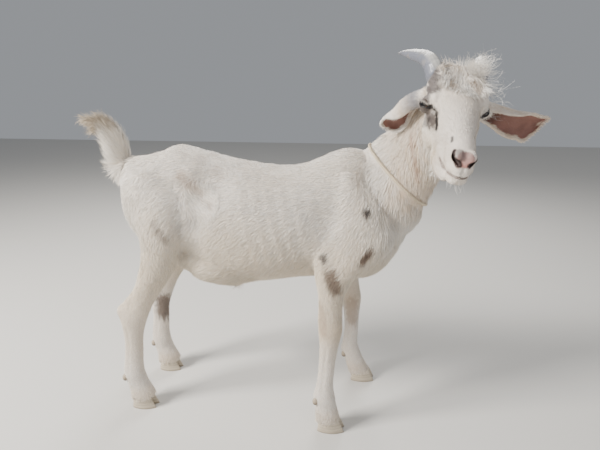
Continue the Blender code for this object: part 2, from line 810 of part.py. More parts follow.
def horn_path(side):
    table = numbered(HORN)
    rows = table_curve(table, stations(table, 3))
    root = HORN[1][1]
    outs = root + (rows[:, 1] - root) * HORN_SPREAD[side]
    centres = np.array([HEAD_FRAME @ Vector((row[0], side * y, row[2])) for row, y in zip(rows, outs)])
    return centres, rows[:, 3]


def horn(side, name, home, extra=0.0):
    centres, radii = horn_path(side)
    ups = [(0, 0, 1)] * len(radii)
    radii = radii + extra
    made = limb(name, centres, ups, radii, radii * 0.92, HORN_SIDES, home)
    triangulate(made)
    return made


def ear_surface(word):
    """Rows of points across the hollow of the ear, from root to tip, and the points of its axis."""
    axis, root_faces, tip_faces, turning, broad, roll, drift = EARS[word]
    table = numbered([HEAD_FRAME @ Vector(p) for p in axis])
    at = np.linspace(0, 1, EAR_STEPS)
    centres = table_curve(table, at * (len(axis) - 1))
    along = np.gradient(centres, axis=0)
    turn = HEAD_FRAME.to_quaternion()
    widest = max(row[1] for row in EAR_SECTION[word])
    rows = []
    for centre, way, t, (half, angle) in zip(centres, along, at, table_curve(EAR_SECTION[word], at)):
        way = Vector(way).normalized()
        share = min(max((t - turning[0]) / (turning[1] - turning[0]), 0.0), 1.0)
        share *= share * (3 - 2 * share)
        faces = turn @ Vector(root_faces).lerp(Vector(tip_faces), share)
        faces = (faces - way * faces.dot(way)).normalized()
        across = way.cross(faces)
        angle = min(math.radians(angle) * roll, math.radians(160))
        radius = half * broad / angle
        deep = radius * (1 - math.cos(angle))
        shift = across * drift * (widest - half) * (t > 0.7)
        row = []
        for s in np.linspace(-1, 1, EAR_ACROSS + 1):
            reach = radius * (1 - math.cos(s * angle)) - 0.6 * deep
            row.append(Vector(centre) + shift + across * radius * math.sin(s * angle) + faces * reach)
        rows.append(row)
    return rows, centres


def ear(word, home):
    rows, centres = ear_surface(word)
    wide = EAR_ACROSS + 1
    points = [p for row in rows for p in row]
    faces = []
    for r in range(len(rows) - 1):
        for s in range(EAR_ACROSS):
            a = r * wide + s
            faces.append((a, a + 1, a + wide + 1, a + wide))
    made = mesh_object("ear_" + word, points, faces, home)
    shell = made.modifiers.new("thickness", "SOLIDIFY")
    shell.thickness = EAR_THICKNESS
    shell.offset = 0
    apply(made)
    triangulate(made)
    face_out(made)
    root = [centres[0] + (centres[0] - centres[2]) * k for k in (0.6, 0.2, -0.35, -0.75)]
    radii = [0.0100, 0.0120, 0.0125, 0.0090]
    plug = limb("ear_root", root, [(0, 0, 1)] * 4, radii, radii, 12, home)
    boolean(made, "UNION", plug)
    return made


def triangulate(thing):
    shape = bmesh.new()
    shape.from_mesh(thing.data)
    bmesh.ops.triangulate(shape, faces=shape.faces, quad_method="FIXED")
    shape.to_mesh(thing.data)
    shape.free()


def swollen(name, thing, by, home):
    """A copy pushed outwards, so that what it cuts keeps clear of the original."""
    made = bpy.data.objects.new(name, thing.data.copy())
    home.objects.link(made)
    shape = bmesh.new()
    shape.from_mesh(made.data)
    shape.normal_update()
    for point in shape.verts:
        point.co += point.normal * by * point.calc_shell_factor()
    shape.to_mesh(made.data)
    shape.free()
    return made


def claw(name, heel, toe, out, side, inner, home):
    """One of the two toes of a hoof: side is the leg's, inner is 1 for the toe nearer the mid plane."""
    width = 0.0105
    middle = out * side - side * inner * (width + CLEFT / 2)
    rings = []
    turn = np.linspace(0, 2 * math.pi, 14, endpoint=False)
    for k in (0.0, 0.08, 0.55, 1.0):
        rear = heel + 0.004 * k
        front = toe - 0.016 * k
        x = (rear + front) / 2 + (front - rear) / 2 * np.cos(turn)
        narrow = 1 - 0.42 * np.clip(np.cos(turn), 0, 1) ** 2
        half = width * (1.0 if k else 0.94) * (1 - 0.05 * k)
        y = middle + half * np.sin(turn) * narrow - side * inner * -0.0015 * np.clip(np.cos(turn), 0, 1)
        top = CORONET_LEVEL + CORONET_RISE * (x - coronet_middle(heel, toe)) - GAP
        rings.append(np.stack([x, y, top * k], 1))
    return loft(name, rings, home)


def coronet_middle(heel, toe):
    """Where along a foot its sloping upper edge has its middle height."""
    return (heel + toe) / 2 - 0.004


def dewclaw(word, out, side, inner, home, extra=0.0):
    """The small horny claw behind a fetlock, sunk by half into the leg."""
    x, z = DEWCLAW_PLACE[word]
    y = side * out - side * inner * DEWCLAW_APART
    radii = tuple(radius + extra for radius in DEWCLAW_RADII)
    return ball("dewclaw", (x, y, z), radii, home, segments=10, rings=7)


def feet():
    """Every foot: name, heel x, toe x, distance from the mid plane, side."""
    for side, word in ((1, "left"), (-1, "right")):
        step = 0.074 if side > 0 else 0.0
        yield "fore_" + word, 0.193 + step, 0.257 + step, 0.105, side
        yield "hind_" + word, -0.284, -0.222, 0.082, side


def collar(neck_piece, home):
    """A rope that lies round the neck, its route read from the neck's own surface."""
    centre = Vector((0.350, -0.035, 0.604))
    normal = Vector((0.66, -0.10, 0.74)).normalized()
    up = Vector((-0.7, 0.0, 0.7))
    up = (up - normal * up.dot(normal)).normalized()
    side = normal.cross(up)
    steps = 36
    reach = []
    for k in range(steps):
        turn = 2 * math.pi * k / steps
        way = up * math.cos(turn) + side * math.sin(turn)
        found = []
        for level in (-0.5, 0.0, 0.5):
            start = centre + way * 0.16 + normal * level * COLLAR_THICKNESS
            hit, where, _, _ = neck_piece.ray_cast(start, -way)
            found.append((where - centre).dot(way) if hit else 0.0)
        reach.append(max(found))
    reach = np.array(reach)
    for _ in range(3):
        reach = np.maximum(reach, (np.roll(reach, 1) + np.roll(reach, -1)) / 2)
    rings = []
    sides = 8
    radius = COLLAR_THICKNESS / 2
    for k in range(steps):
        turn = 2 * math.pi * k / steps
        way = up * math.cos(turn) + side * math.sin(turn)
        middle = centre + way * (reach[k] + radius + COLLAR_CLEARANCE)
        ring = []
        for s in range(sides):
            a = 2 * math.pi * s / sides
            ring.append(middle + way * radius * math.cos(a) + normal * radius * math.sin(a))
        rings.append(ring)
    faces = []
    for r in range(steps):
        for s in range(sides):
            a, b = r * sides + s, r * sides + (s + 1) % sides
            c, d = ((r + 1) % steps) * sides + (s + 1) % sides, ((r + 1) % steps) * sides + s
            faces.append((a, b, c, d))
    made = mesh_object("collar", [p for ring in rings for p in ring], faces, home)
    face_out(made)
    return made


def settle(home):
    """Moves every mesh so that the origin is the bottom centre of the whole animal's box."""
    low, high = Vector((9, 9, 9)), Vector((-9, -9, -9))
    for thing in home.objects:
        for point in thing.data.vertices:
            low = Vector(map(min, low, point.co))
            high = Vector(map(max, high, point.co))
    shift = Matrix.Translation((-(low.x + high.x) / 2, -(low.y + high.y) / 2, -low.z))
    for thing in home.objects:
        thing.data.transform(shift)


def main():
    clear_scene()
    animal = group("nubian_goat")
    cutters = group("cutters")
    sides = ((1, "left"), (-1, "right"))

    forms = [torso(animal), neck(animal), tail(animal)]
    for side, word in sides:
        forms.append(leg("hind_" + word, HIND_LEG, side, animal))
        forms.append(leg("fore_" + word, FORE_LEG, side, animal, LEFT_STEP if side > 0 else None))
    forms += masses(BODY_MASSES, Matrix(), animal)
    body = fuse("body", forms, BODY_VOXEL, animal)
    smooth(body, 6)
    thin(body, BODY_TRIANGLES)
    blades = group("blades")
    body_blades(blades)
    boolean(body, "DIFFERENCE", blades)
    pieces = part(body, BODY_PIECES, animal)
    fringe = group("fringe")
    tail_locks(fringe)
    boolean(pieces["tail"], "UNION", fringe)
    keep_largest(pieces["tail"])

    forms = [head(animal), neck(animal)] + masses(HEAD_MASSES, HEAD_FRAME, animal)
    for side, word in sides:
        forms.append(eye(side, "orbit", animal, LID_THICKNESS))
    skull = fuse("head", forms, HEAD_VOXEL, animal)
    smooth(skull, 4)
    thin(skull, HEAD_TRIANGLES)
    skin = swollen("skin", skull, GAP, cutters)

    middle, normal, across = neck_end_plane()
    away = blade("away", middle + normal * 0.3, normal, across, 0.3, 0.3, cutters, 0.6 + GAP)
    boolean(skull, "DIFFERENCE", away)
    keep_largest(skull)
    tuft = group("tuft")
    poll_locks(skull, tuft)
    boolean(skull, "UNION", tuft)
    for side, word in sides:
        boolean(skull, "DIFFERENCE", horn(side, "horn_hole", cutters, GAP))
        horn(side, "horn_" + word, animal)
        boolean(skull, "DIFFERENCE", eye(side, "socket", cutters, GAP))
        boolean(skull, "DIFFERENCE", eye_opening(side, cutters))
        eye(side, "eye_" + word, animal)
        boolean(skull, "DIFFERENCE", nostril_cutter(side, cutters))
    boolean(skull, "DIFFERENCE", mouth_cutter(cutters))
    keep_largest(skull)
    skull.name = "head"

    for side, word in sides:
        made = ear(word, animal)
        trim = bpy.data.objects.new("trim", skin.data)
        cutters.objects.link(trim)
        boolean(made, "DIFFERENCE", trim)
        boolean(made, "DIFFERENCE", swollen("nape", pieces["neck"], GAP, cutters))
        keep_largest(made)
    bpy.data.objects.remove(skin)

    for word, heel, toe, out, side in feet():
        shank = pieces[word.replace("fore", "foreleg").replace("hind", "hindleg")]
        for inner, where in ((1, "inner"), (-1, "outer")):
            claw("hoof_%s_%s" % (word, where), heel, toe, out, side, inner, animal)
            boolean(shank, "DIFFERENCE", dewclaw(word, out, side, inner, cutters, GAP))
            dewclaw(word, out, side, inner, animal).name = "dewclaw_%s_%s" % (word, where)

    collar(pieces["neck"], animal)
    settle(animal)
    for thing in animal.objects:
        start = next(word for word in PAINT if thing.name.startswith(word))
        paint(thing, *PAINT[start])


main()
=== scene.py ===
"""The looks of a standing young Nubian goat buck: skin, coat, horns, hooves, eyes and rope collar.

Metres. The animal is drawn in its own frame, +X from tail to chest, +Y to its left, round a point on the
ground midway between its feet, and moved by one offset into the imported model's frame.
"""

import math

import bmesh
import bpy
import numpy as np
from mathutils import Matrix, Vector, bvhtree, kdtree


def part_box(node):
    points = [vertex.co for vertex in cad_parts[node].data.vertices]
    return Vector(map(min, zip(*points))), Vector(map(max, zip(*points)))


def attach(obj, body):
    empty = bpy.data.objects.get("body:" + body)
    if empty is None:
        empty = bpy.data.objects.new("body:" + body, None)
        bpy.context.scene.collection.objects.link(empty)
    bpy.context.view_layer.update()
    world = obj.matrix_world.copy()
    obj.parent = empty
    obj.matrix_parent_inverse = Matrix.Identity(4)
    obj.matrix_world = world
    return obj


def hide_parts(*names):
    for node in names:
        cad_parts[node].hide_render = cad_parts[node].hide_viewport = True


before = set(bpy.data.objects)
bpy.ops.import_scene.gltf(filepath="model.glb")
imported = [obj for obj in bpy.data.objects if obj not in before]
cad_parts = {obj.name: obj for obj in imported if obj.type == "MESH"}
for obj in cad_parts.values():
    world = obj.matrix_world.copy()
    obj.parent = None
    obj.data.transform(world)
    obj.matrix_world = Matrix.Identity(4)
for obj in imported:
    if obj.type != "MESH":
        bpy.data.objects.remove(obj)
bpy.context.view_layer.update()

SEED = 11
GAP = 0.0003

# Main sizes of the animal, as in the solids, apart from the eye's opening, which is narrower here
HEAD_LENGTH = 0.222
EYE_RADIUS = 0.0125
LID_THICKNESS = 0.0022
EYE_OPENING = (0.0108, 0.0031)
EAR_THICKNESS = 0.0028
COLLAR_THICKNESS = 0.0056
HOOF_TOP_FRONT = 0.036
HOOF_TOP_REAR = 0.021
CLEFT = 0.0016
CORONET_LEVEL = (HOOF_TOP_FRONT + HOOF_TOP_REAR) / 2
CORONET_RISE = (HOOF_TOP_FRONT - HOOF_TOP_REAR) / 0.06
DEWCLAW_RADII = (0.0070, 0.0060, 0.0095)
DEWCLAW_APART = 0.0115
CLAW_HALF_WIDTH = 0.0105
# Feet: heel x, toe x, distance from the mid plane; and how far the left fore foot stands ahead
FORE_FOOT = (0.193, 0.257, 0.105)
HIND_FOOT = (-0.284, -0.222, 0.082)
FORE_STEP = 0.074

# How finely the skin is made
SKIN_VOXEL = 0.0023
SKIN_TRIANGLES = 165000
RING_SIDES = 72
RINGS_PER_SPAN = 10
EAR_STEPS = 64
EAR_ACROSS = 28

# The head's own frame: x from poll to lips, y to the animal's left, z to the crown, in head lengths
HEAD_PLACE = Vector((0.421, -0.147, 0.760))
HEAD_FRAME = (
    Matrix.Translation(HEAD_PLACE)
    @ Matrix.Rotation(math.radians(-91.2), 4, "Z")
    @ Matrix.Rotation(math.radians(18.6), 4, "Y")
    @ Matrix.Rotation(math.radians(-6.3), 4, "X")
    @ Matrix.Scale(HEAD_LENGTH, 4)
)

# Torso rings: x, top, widest level, bottom, half width
TORSO = (
    (-0.287, 0.585, 0.560, 0.530, 0.022),
    (-0.268, 0.620, 0.553, 0.460, 0.062),
    (-0.232, 0.631, 0.545, 0.420, 0.086),
    (-0.190, 0.640, 0.540, 0.402, 0.092),
    (-0.150, 0.656, 0.530, 0.392, 0.091),
    (-0.100, 0.649, 0.500, 0.368, 0.095),
    (-0.050, 0.636, 0.480, 0.344, 0.102),
    (0.000, 0.625, 0.472, 0.334, 0.107),
    (0.050, 0.618, 0.470, 0.337, 0.109),
    (0.100, 0.614, 0.472, 0.345, 0.107),
    (0.150, 0.620, 0.478, 0.353, 0.101),
    (0.200, 0.641, 0.485, 0.356, 0.092),
    (0.250, 0.656, 0.490, 0.354, 0.084),
    (0.300, 0.638, 0.490, 0.356, 0.072),
    (0.335, 0.590, 0.485, 0.382, 0.058),
    (0.355, 0.545, 0.475, 0.412, 0.040),
    (0.368, 0.510, 0.470, 0.444, 0.018),
)

# Neck rings: centre x, y, z, half depth, half width
NECK = (
    (0.235, 0.000, 0.515, 0.110, 0.062),
    (0.312, -0.002, 0.556, 0.110, 0.066),
    (0.345, -0.016, 0.597, 0.093, 0.060),
    (0.374, -0.047, 0.642, 0.080, 0.052),
    (0.3955, -0.085, 0.684, 0.073, 0.047),
    (0.410, -0.122, 0.719, 0.065, 0.045),
    (0.420, -0.152, 0.742, 0.048, 0.038),
)

# Head rings in the head's frame: x, top, widest level, bottom, half width
HEAD = (
    (-0.085, 0.140, 0.040, -0.080, 0.070),
    (-0.030, 0.215, 0.040, -0.180, 0.132),
    (0.060, 0.258, 0.050, -0.250, 0.168),
    (0.150, 0.266, 0.050, -0.296, 0.184),
    (0.250, 0.256, 0.070, -0.302, 0.194),
    (0.350, 0.236, 0.085, -0.300, 0.198),
    (0.450, 0.200, 0.040, -0.295, 0.168),
    (0.560, 0.158, 0.000, -0.285, 0.140),
    (0.680, 0.112, -0.030, -0.270, 0.116),
    (0.800, 0.072, -0.050, -0.256, 0.098),
    (0.890, 0.040, -0.060, -0.234, 0.084),
    (0.950, 0.014, -0.072, -0.204, 0.072),
    (0.988, -0.022, -0.080, -0.172, 0.052),
    (1.008, -0.060, -0.090, -0.135, 0.030),
)

# Rounded masses of the head in its frame, on both sides: centre, radii
HEAD_MASSES = (
    ((0.320, 0.160, 0.135), (0.105, 0.056, 0.050)),
    ((0.300, 0.110, -0.120), (0.165, 0.078, 0.145)),
    ((0.945, 0.037, -0.026), (0.050, 0.040, 0.050)),
    ((0.870, 0.047, -0.110), (0.100, 0.044, 0.054)),
    ((0.620, 0.058, -0.228), (0.250, 0.076, 0.088)),
    ((0.600, 0.052, -0.130), (0.230, 0.074, 0.120)),
    ((0.890, 0.020, -0.200), (0.070, 0.052, 0.042)),
    ((0.235, 0.146, 0.170), (0.130, 0.074, 0.100)),
    ((0.190, 0.085, 0.200), (0.160, 0.120, 0.092)),
    ((0.120, 0.120, 0.235), (0.100, 0.085, 0.085)),
    ((0.090, 0.000, 0.250), (0.140, 0.140, 0.072)),
)

# Masses of the belly on both sides, three more than in the solids: centre, radii
BODY_MASSES = (
    ((-0.055, 0.000, 0.349), (0.062, 0.030, 0.035)),
    ((-0.085, 0.000, 0.365), (0.050, 0.030, 0.036)),
    ((-0.024, 0.000, 0.323), (0.018, 0.012, 0.014)),
    ((-0.050, 0.040, 0.385), (0.085, 0.048, 0.048)),
    ((-0.030, 0.034, 0.372), (0.065, 0.040, 0.042)),
    ((-0.105, 0.036, 0.400), (0.060, 0.044, 0.040)),
)

# Leg rings: height, rear x, front x, distance from the mid plane, half width
HIND_LEG = (
    (0.600, -0.250, -0.150, 0.050, 0.030),
    (0.560, -0.258, -0.112, 0.058, 0.040),
    (0.500, -0.246, -0.106, 0.062, 0.046),
    (0.457, -0.234, -0.120, 0.064, 0.046),
    (0.420, -0.229, -0.131, 0.066, 0.043),
    (0.363, -0.240, -0.157, 0.071, 0.034),
    (0.315, -0.263, -0.189, 0.075, 0.025),
    (0.293, -0.280, -0.205, 0.076, 0.023),
    (0.266, -0.298, -0.220, 0.077, 0.023),
    (0.240, -0.297, -0.231, 0.078, 0.022),
    (0.205, -0.292, -0.242, 0.079, 0.018),
    (0.165, -0.293, -0.247, 0.080, 0.016),
    (0.125, -0.298, -0.250, 0.081, 0.017),
    (0.092, -0.302, -0.248, 0.082, 0.021),
    (0.068, -0.296, -0.240, 0.082, 0.020),
    (0.046, -0.291, -0.229, 0.082, 0.022),
    (0.010, -0.289, -0.222, 0.082, 0.024),
)
FORE_LEG = (
    (0.615, 0.214, 0.276, 0.038, 0.022),
    (0.570, 0.202, 0.312, 0.050, 0.032),
    (0.510, 0.188, 0.342, 0.060, 0.036),
    (0.455, 0.176, 0.345, 0.068, 0.038),
    (0.418, 0.172, 0.316, 0.075, 0.038),
    (0.388, 0.178, 0.276, 0.081, 0.036),
    (0.350, 0.187, 0.252, 0.087, 0.031),
    (0.313, 0.190, 0.246, 0.091, 0.026),
    (0.285, 0.189, 0.245, 0.093, 0.024),
    (0.255, 0.191, 0.245, 0.095, 0.024),
    (0.228, 0.194, 0.240, 0.097, 0.021),
    (0.195, 0.194, 0.234, 0.099, 0.016),
    (0.150, 0.192, 0.230, 0.101, 0.015),
    (0.115, 0.188, 0.229, 0.103, 0.017),
    (0.088, 0.182, 0.234, 0.104, 0.021),
    (0.066, 0.186, 0.237, 0.105, 0.020),
    (0.046, 0.187, 0.242, 0.105, 0.022),
    (0.010, 0.189, 0.249, 0.105, 0.024),
)
# How far the left fore leg stands ahead of the right one: height, step forward
LEFT_STEP = (
    (0.010, 0.076),
    (0.046, 0.067),
    (0.088, 0.056),
    (0.165, 0.052),
    (0.240, 0.044),
    (0.313, 0.033),
    (0.388, 0.022),
    (0.455, 0.004),
    (0.510, 0.000),
    (0.700, 0.000),
)
# Each leg: its table, its side and its step forward
LEGS = (
    (FORE_LEG, 1, LEFT_STEP),
    (FORE_LEG, -1, None),
    (HIND_LEG, 1, None),
    (HIND_LEG, -1, None),
)

# Dewclaws: x and z of the middle
DEWCLAW_PLACE = {
    "fore_left": (0.246, 0.080),
    "fore_right": (0.188, 0.080),
    "hind_left": (-0.296, 0.084),
    "hind_right": (-0.296, 0.084),
}

# Tail core: centre x, z, half depth, half width
TAIL = (
    (-0.272, 0.578, 0.030, 0.028),
    (-0.290, 0.615, 0.026, 0.022),
    (-0.301, 0.652, 0.018, 0.015),
    (-0.311, 0.683, 0.014, 0.012),
    (-0.334, 0.705, 0.010, 0.010),
    (-0.359, 0.713, 0.007, 0.007),
    (-0.376, 0.716, 0.004, 0.004),
)

# Horn in the head's frame, left side: centre x, y, z, and radius in metres
HORN = (
    (0.140, 0.088, 0.110, 0.0118),
    (0.126, 0.146, 0.205, 0.0168),
    (0.055, 0.190, 0.276, 0.0155),
    (-0.060, 0.233, 0.292, 0.0130),
    (-0.200, 0.299, 0.273, 0.0100),
    (-0.320, 0.366, 0.250, 0.0062),
    (-0.410, 0.420, 0.224, 0.0018),
)
# The left horn leans out less than the right one
HORN_SPREAD = {1: 0.45, -1: 1.0}

# Ears in the head's frame: axis points, the way the hollow faces at the root and at the tip, between which
# places along the ear it turns, how wide and how tightly rolled it is, and how far the tip drifts upwards
EARS = {
    "left": (
        ((0.150, 0.215, 0.015), (0.079, 0.427, -0.060), (0.005, 0.570, -0.120), (-0.120, 0.815, -0.215)),
        (0.85, 0.10, -0.50),
        (0.93, -0.15, 0.10),
        (0.25, 0.85),
        1.0,
        1.0,
        -0.80,
    ),
    "right": (
        ((0.140, -0.200, 0.065), (0.020, -0.285, -0.060), (-0.080, -0.345, -0.205), (-0.160, -0.420, -0.360)),
        (0.05, 0.20, -0.98),
        (1.00, 0.10, -0.05),
        (0.45, 0.80),
        0.92,
        1.30,
        0.10,
    ),
}
# Ears along their length: place from 0 to 1, half width along the curve, half angle of the section in degrees
EAR_SECTION = {
    "left": (
        (0.00, 0.0300, 140),
        (0.14, 0.0335, 118),
        (0.35, 0.0355, 92),
        (0.60, 0.0360, 75),
        (0.76, 0.0335, 66),
        (0.92, 0.0262, 58),
        (0.955, 0.0150, 48),
        (0.970, 0.0070, 38),
        (1.00, 0.0040, 26),
    ),
    "right": (
        (0.00, 0.0260, 140),
        (0.14, 0.0370, 125),
        (0.35, 0.0400, 112),
        (0.60, 0.0385, 84),
        (0.76, 0.0360, 66),
        (0.88, 0.0315, 58),
        (0.94, 0.0240, 52),
        (0.97, 0.0150, 46),
        (1.00, 0.0060, 35),
    ),
}
# The eyes in the head's frame: the front of the lids on the left and on the right, and the way an eye looks
LID_PLACE = {1: (0.385, 0.228, 0.074), -1: (0.376, -0.252, 0.081)}
EYE_TURN_FORWARD = math.radians(36)
EYE_TURN_UP = math.radians(8)
EYE_SLANT = {1: math.radians(14), -1: math.radians(-6)}

# Mouth line in the head's frame, from its left corner to its front, a little finer bent than in the solids
MOUTH = (
    (0.738, 0.107, -0.154),
    (0.795, 0.092, -0.171),
    (0.862, 0.076, -0.172),
    (0.925, 0.064, -0.158),
    (0.965, 0.048, -0.149),
    (0.990, 0.022, -0.148),
    (0.996, 0.000, -0.147),
)
MOUTH_DEPTH = 0.0055
MOUTH_HEIGHT = 0.0024

# Nostril in the head's frame, left side: centre line and radius in metres
NOSTRIL = (
    (0.922, 0.074, -0.004, 0.0018),
    (0.950, 0.067, -0.018, 0.0037),
    (0.975, 0.050, -0.040, 0.0036),
    (0.992, 0.032, -0.059, 0.0020),
)

# The rope's loop round the neck: middle, the way through it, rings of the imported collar, and turns of its lay
ROPE_MIDDLE = Vector((0.350, -0.035, 0.604))
ROPE_NORMAL = Vector((0.66, -0.10, 0.74))
ROPE_BINS = 36
ROPE_TURNS = 34
STEPS_PER_TURN = 16
STRANDS = 3

# The photo's view: place, level direction, tilt down and lens
CAMERA_PLACE = Vector((0.2709, -1.0061, 0.7792))
CAMERA_WAY = (-0.1326, 0.9912)
CAMERA_DOWN = math.radians(16.7)
CAMERA_LENS = 27.06


def home(name):
    made = bpy.data.collections.new(name)
    bpy.context.scene.collection.children.link(made)
    return made


ANIMAL = home("nubian_goat")


def link(name, mesh):
    made = bpy.data.objects.new(name, mesh)
    ANIMAL.objects.link(made)
    return made


def mesh_object(name, points, faces):
    mesh = bpy.data.meshes.new(name)
    mesh.from_pydata([tuple(p) for p in points], [], faces)
    mesh.update()
    return link(name, mesh)


def from_bmesh(name, shape):
    mesh = bpy.data.meshes.new(name)
    shape.to_mesh(mesh)
    shape.free()
    return link(name, mesh)


def face_out(thing):
    shape = bmesh.new()
    shape.from_mesh(thing.data)
    bmesh.ops.recalc_face_normals(shape, faces=shape.faces)
    if shape.calc_volume(signed=True) < 0:
        bmesh.ops.reverse_faces(shape, faces=shape.faces)
    shape.to_mesh(thing.data)
    shape.free()


def triangulate(thing):
    shape = bmesh.new()
    shape.from_mesh(thing.data)
    bmesh.ops.triangulate(shape, faces=shape.faces, quad_method="FIXED")
    shape.to_mesh(thing.data)
    shape.free()


def apply(thing):
    """Gives the object the mesh that its modifiers make."""
    bpy.context.view_layer.update()
    seen = bpy.context.evaluated_depsgraph_get()
    made = bpy.data.meshes.new_from_object(thing.evaluated_get(seen))
    thing.modifiers.clear()
    thing.data = made


def boolean(thing, operation, other):
    step = thing.modifiers.new("join", "BOOLEAN")
    step.operation = operation
    step.solver = "MANIFOLD"
    step.object = other
    apply(thing)
    bpy.data.objects.remove(other)


def points_of(mesh):
    flat = np.empty(len(mesh.vertices) * 3)
    mesh.vertices.foreach_get("co", flat)
    return flat.reshape(-1, 3)


def normals_of(mesh):
    flat = np.empty(len(mesh.vertices) * 3)
    mesh.vertex_normals.foreach_get("vector", flat)
    return flat.reshape(-1, 3)


def put_points(mesh, points):
    mesh.vertices.foreach_set("co", np.ascontiguousarray(points, float).ravel())
    mesh.update()


def unit(rows):
    return rows / np.maximum(np.linalg.norm(rows, axis=-1, keepdims=True), 1e-9)


def ramp(value, low, high):
    """0 below low, 1 above high, smooth between; low may be the larger."""
    t = np.clip((value - low) / (high - low), 0, 1)
    return t * t * (3 - 2 * t)


def table_curve(table, where):
    """The columns of a table, read at places along its first column by a smooth curve through its rows."""
    rows = np.array(table, float)
    if rows[0, 0] > rows[-1, 0]:
        rows = rows[::-1]
    key, values = rows[:, 0], rows[:, 1:]
    slopes = np.gradient(values, key, axis=0)
    at = np.clip(np.asarray(where, float), key[0], key[-1])
    i = np.clip(np.searchsorted(key, at, side="right") - 1, 0, len(key) - 2)
    span = (key[i + 1] - key[i])[:, None]
    t = (at - key[i])[:, None] / span
    return (
        (2 * t**3 - 3 * t**2 + 1) * values[i]
        + (t**3 - 2 * t**2 + t) * span * slopes[i]
        + (3 * t**2 - 2 * t**3) * values[i + 1]
        + (t**3 - t**2) * span * slopes[i + 1]
    )


def numbered(rows):
    """A table whose first column counts its rows, for curves that follow no axis."""
    return [(float(i), *row) for i, row in enumerate(rows)]


def stations(table, per_span=RINGS_PER_SPAN):
    key = [row[0] for row in table]
    steps = [np.linspace(a, b, per_span, endpoint=False) for a, b in zip(key, key[1:])]
    return np.append(np.concatenate(steps), key[-1])


def to_head(points):
    """Points of the animal's frame in the head's own frame."""
    turn = np.array(HEAD_FRAME.to_quaternion().to_matrix())
    return (np.asarray(points) - np.array(HEAD_PLACE)) @ turn / HEAD_LENGTH


def from_head(rows):
    turn = np.array(HEAD_FRAME.to_quaternion().to_matrix())
    return np.asarray(rows) * HEAD_LENGTH @ turn.T + np.array(HEAD_PLACE)


def head_way(rows):
    """Directions of the head's frame in the animal's frame."""
    return np.asarray(rows, float) @ np.array(HEAD_FRAME.to_quaternion().to_matrix()).T


def waves(points, scale, seed):
    """Smooth noise from about minus one to one: a few waves that cross, with the given size in metres."""
    count = 6
    chance = np.random.default_rng(seed)
    total = np.zeros(len(points))
    for _ in range(count):
        way = chance.normal(size=3)
        way *= 2 * math.pi / scale / np.linalg.norm(way) * chance.uniform(0.7, 1.4)
        total += np.sin(points @ way + chance.uniform(0, 2 * math.pi))
    return total / count * 1.6


# Forms of the flesh


def loft(name, rings):
    """A closed tube through rings of equal length, with a flat cap at each end, faces out."""
    sides = len(rings[0])
    faces = []
    for r in range(len(rings) - 1):
        for s in range(sides):
            a, b = r * sides + s, r * sides + (s + 1) % sides
            faces.append((a, b, b + sides, a + sides))
    faces.append(tuple(reversed(range(sides))))
    faces.append(tuple(range((len(rings) - 1) * sides, len(rings) * sides)))
    made = mesh_object(name, np.concatenate(rings), faces)
    face_out(made)
    return made


def limb(name, centres, ups, half_depths, half_widths, sides=RING_SIDES):
    """A tube along a path, each ring square to it: depth towards its up vector, width across."""
    centres = np.asarray(centres, float)
    along = np.gradient(centres, axis=0)
    turn = np.linspace(0, 2 * math.pi, sides, endpoint=False)
    rings = []
    for centre, way, up, depth, width in zip(centres, along, ups, half_depths, half_widths):
        way = Vector(way).normalized()
        side = way.cross(Vector(up)).normalized()
        up = side.cross(way).normalized()
        offset = np.outer(np.cos(turn), up) * depth + np.outer(np.sin(turn), side) * width
        rings.append(offset + centre)
    return loft(name, rings)


def upright_ring(x, top, middle, bottom, half_width, top_power=1.12, bottom_power=0.92):
    """An egg-shaped ring across x: a narrow back over full sides."""
    turn = np.linspace(0, 2 * math.pi, RING_SIDES, endpoint=False)
    up, side = np.cos(turn), np.sin(turn)
    rise = np.sign(up) * np.abs(up) ** np.where(up > 0, top_power, bottom_power)
    z = middle + np.where(up > 0, top - middle, middle - bottom) * rise
    y = half_width * np.sign(side) * np.abs(side) ** 0.94
    return np.stack([np.full_like(z, x), y, z], 1)


def torso():
    at = stations(TORSO)
    return loft("torso", [upright_ring(x, *row) for x, row in zip(at, table_curve(TORSO, at))])


def head():
    at = stations(HEAD)
    rows = table_curve(HEAD, at)
    made = loft("head", [upright_ring(x, *row, top_power=0.95, bottom_power=1.0) for x, row in zip(at, rows)])
    made.data.transform(HEAD_FRAME)
    return made


def neck():
    table = numbered(NECK)
    rows = table_curve(table, stations(table))
    return limb("neck", rows[:, :3], [(0, 0, 1)] * len(rows), rows[:, 3], rows[:, 4])


def tail():
    table = numbered(TAIL)
    rows = table_curve(table, stations(table))
    centres = np.stack([rows[:, 0], np.zeros(len(rows)), rows[:, 1]], 1)
    return limb("tail", centres, [(1, 0, 0.4)] * len(rows), rows[:, 2], rows[:, 3], 40)


def leg(name, table, side, step=None):
    at = stations(table)
    ahead = table_curve(step, at)[:, 0] if step else np.zeros(len(at))
    turn = np.linspace(0, 2 * math.pi, RING_SIDES, endpoint=False)
    rings = []
    for z, (rear, front, out, half), forward in zip(at, table_curve(table, at), ahead):
        x = (rear + front) / 2 + forward + (front - rear) / 2 * np.cos(turn)
        y = side * out + half * np.sin(turn)
        rings.append(np.stack([x, y, np.full_like(x, z)], 1))
    return loft(name, rings)


def ball(name, centre, radii, within=None, segments=48, rings=28):
    shape = bmesh.new()
    place = (within or Matrix()) @ Matrix.Translation(centre) @ Matrix.Diagonal((*radii, 1))
    bmesh.ops.create_uvsphere(shape, u_segments=segments, v_segments=rings, radius=1, matrix=place)
    return from_bmesh(name, shape)


def masses(table, within):
    made = []
    for (x, y, z), radii in table:
        for side in (1, -1) if y else (1,):
            made.append(ball("mass", (x, side * y, z), radii, within))
    return made


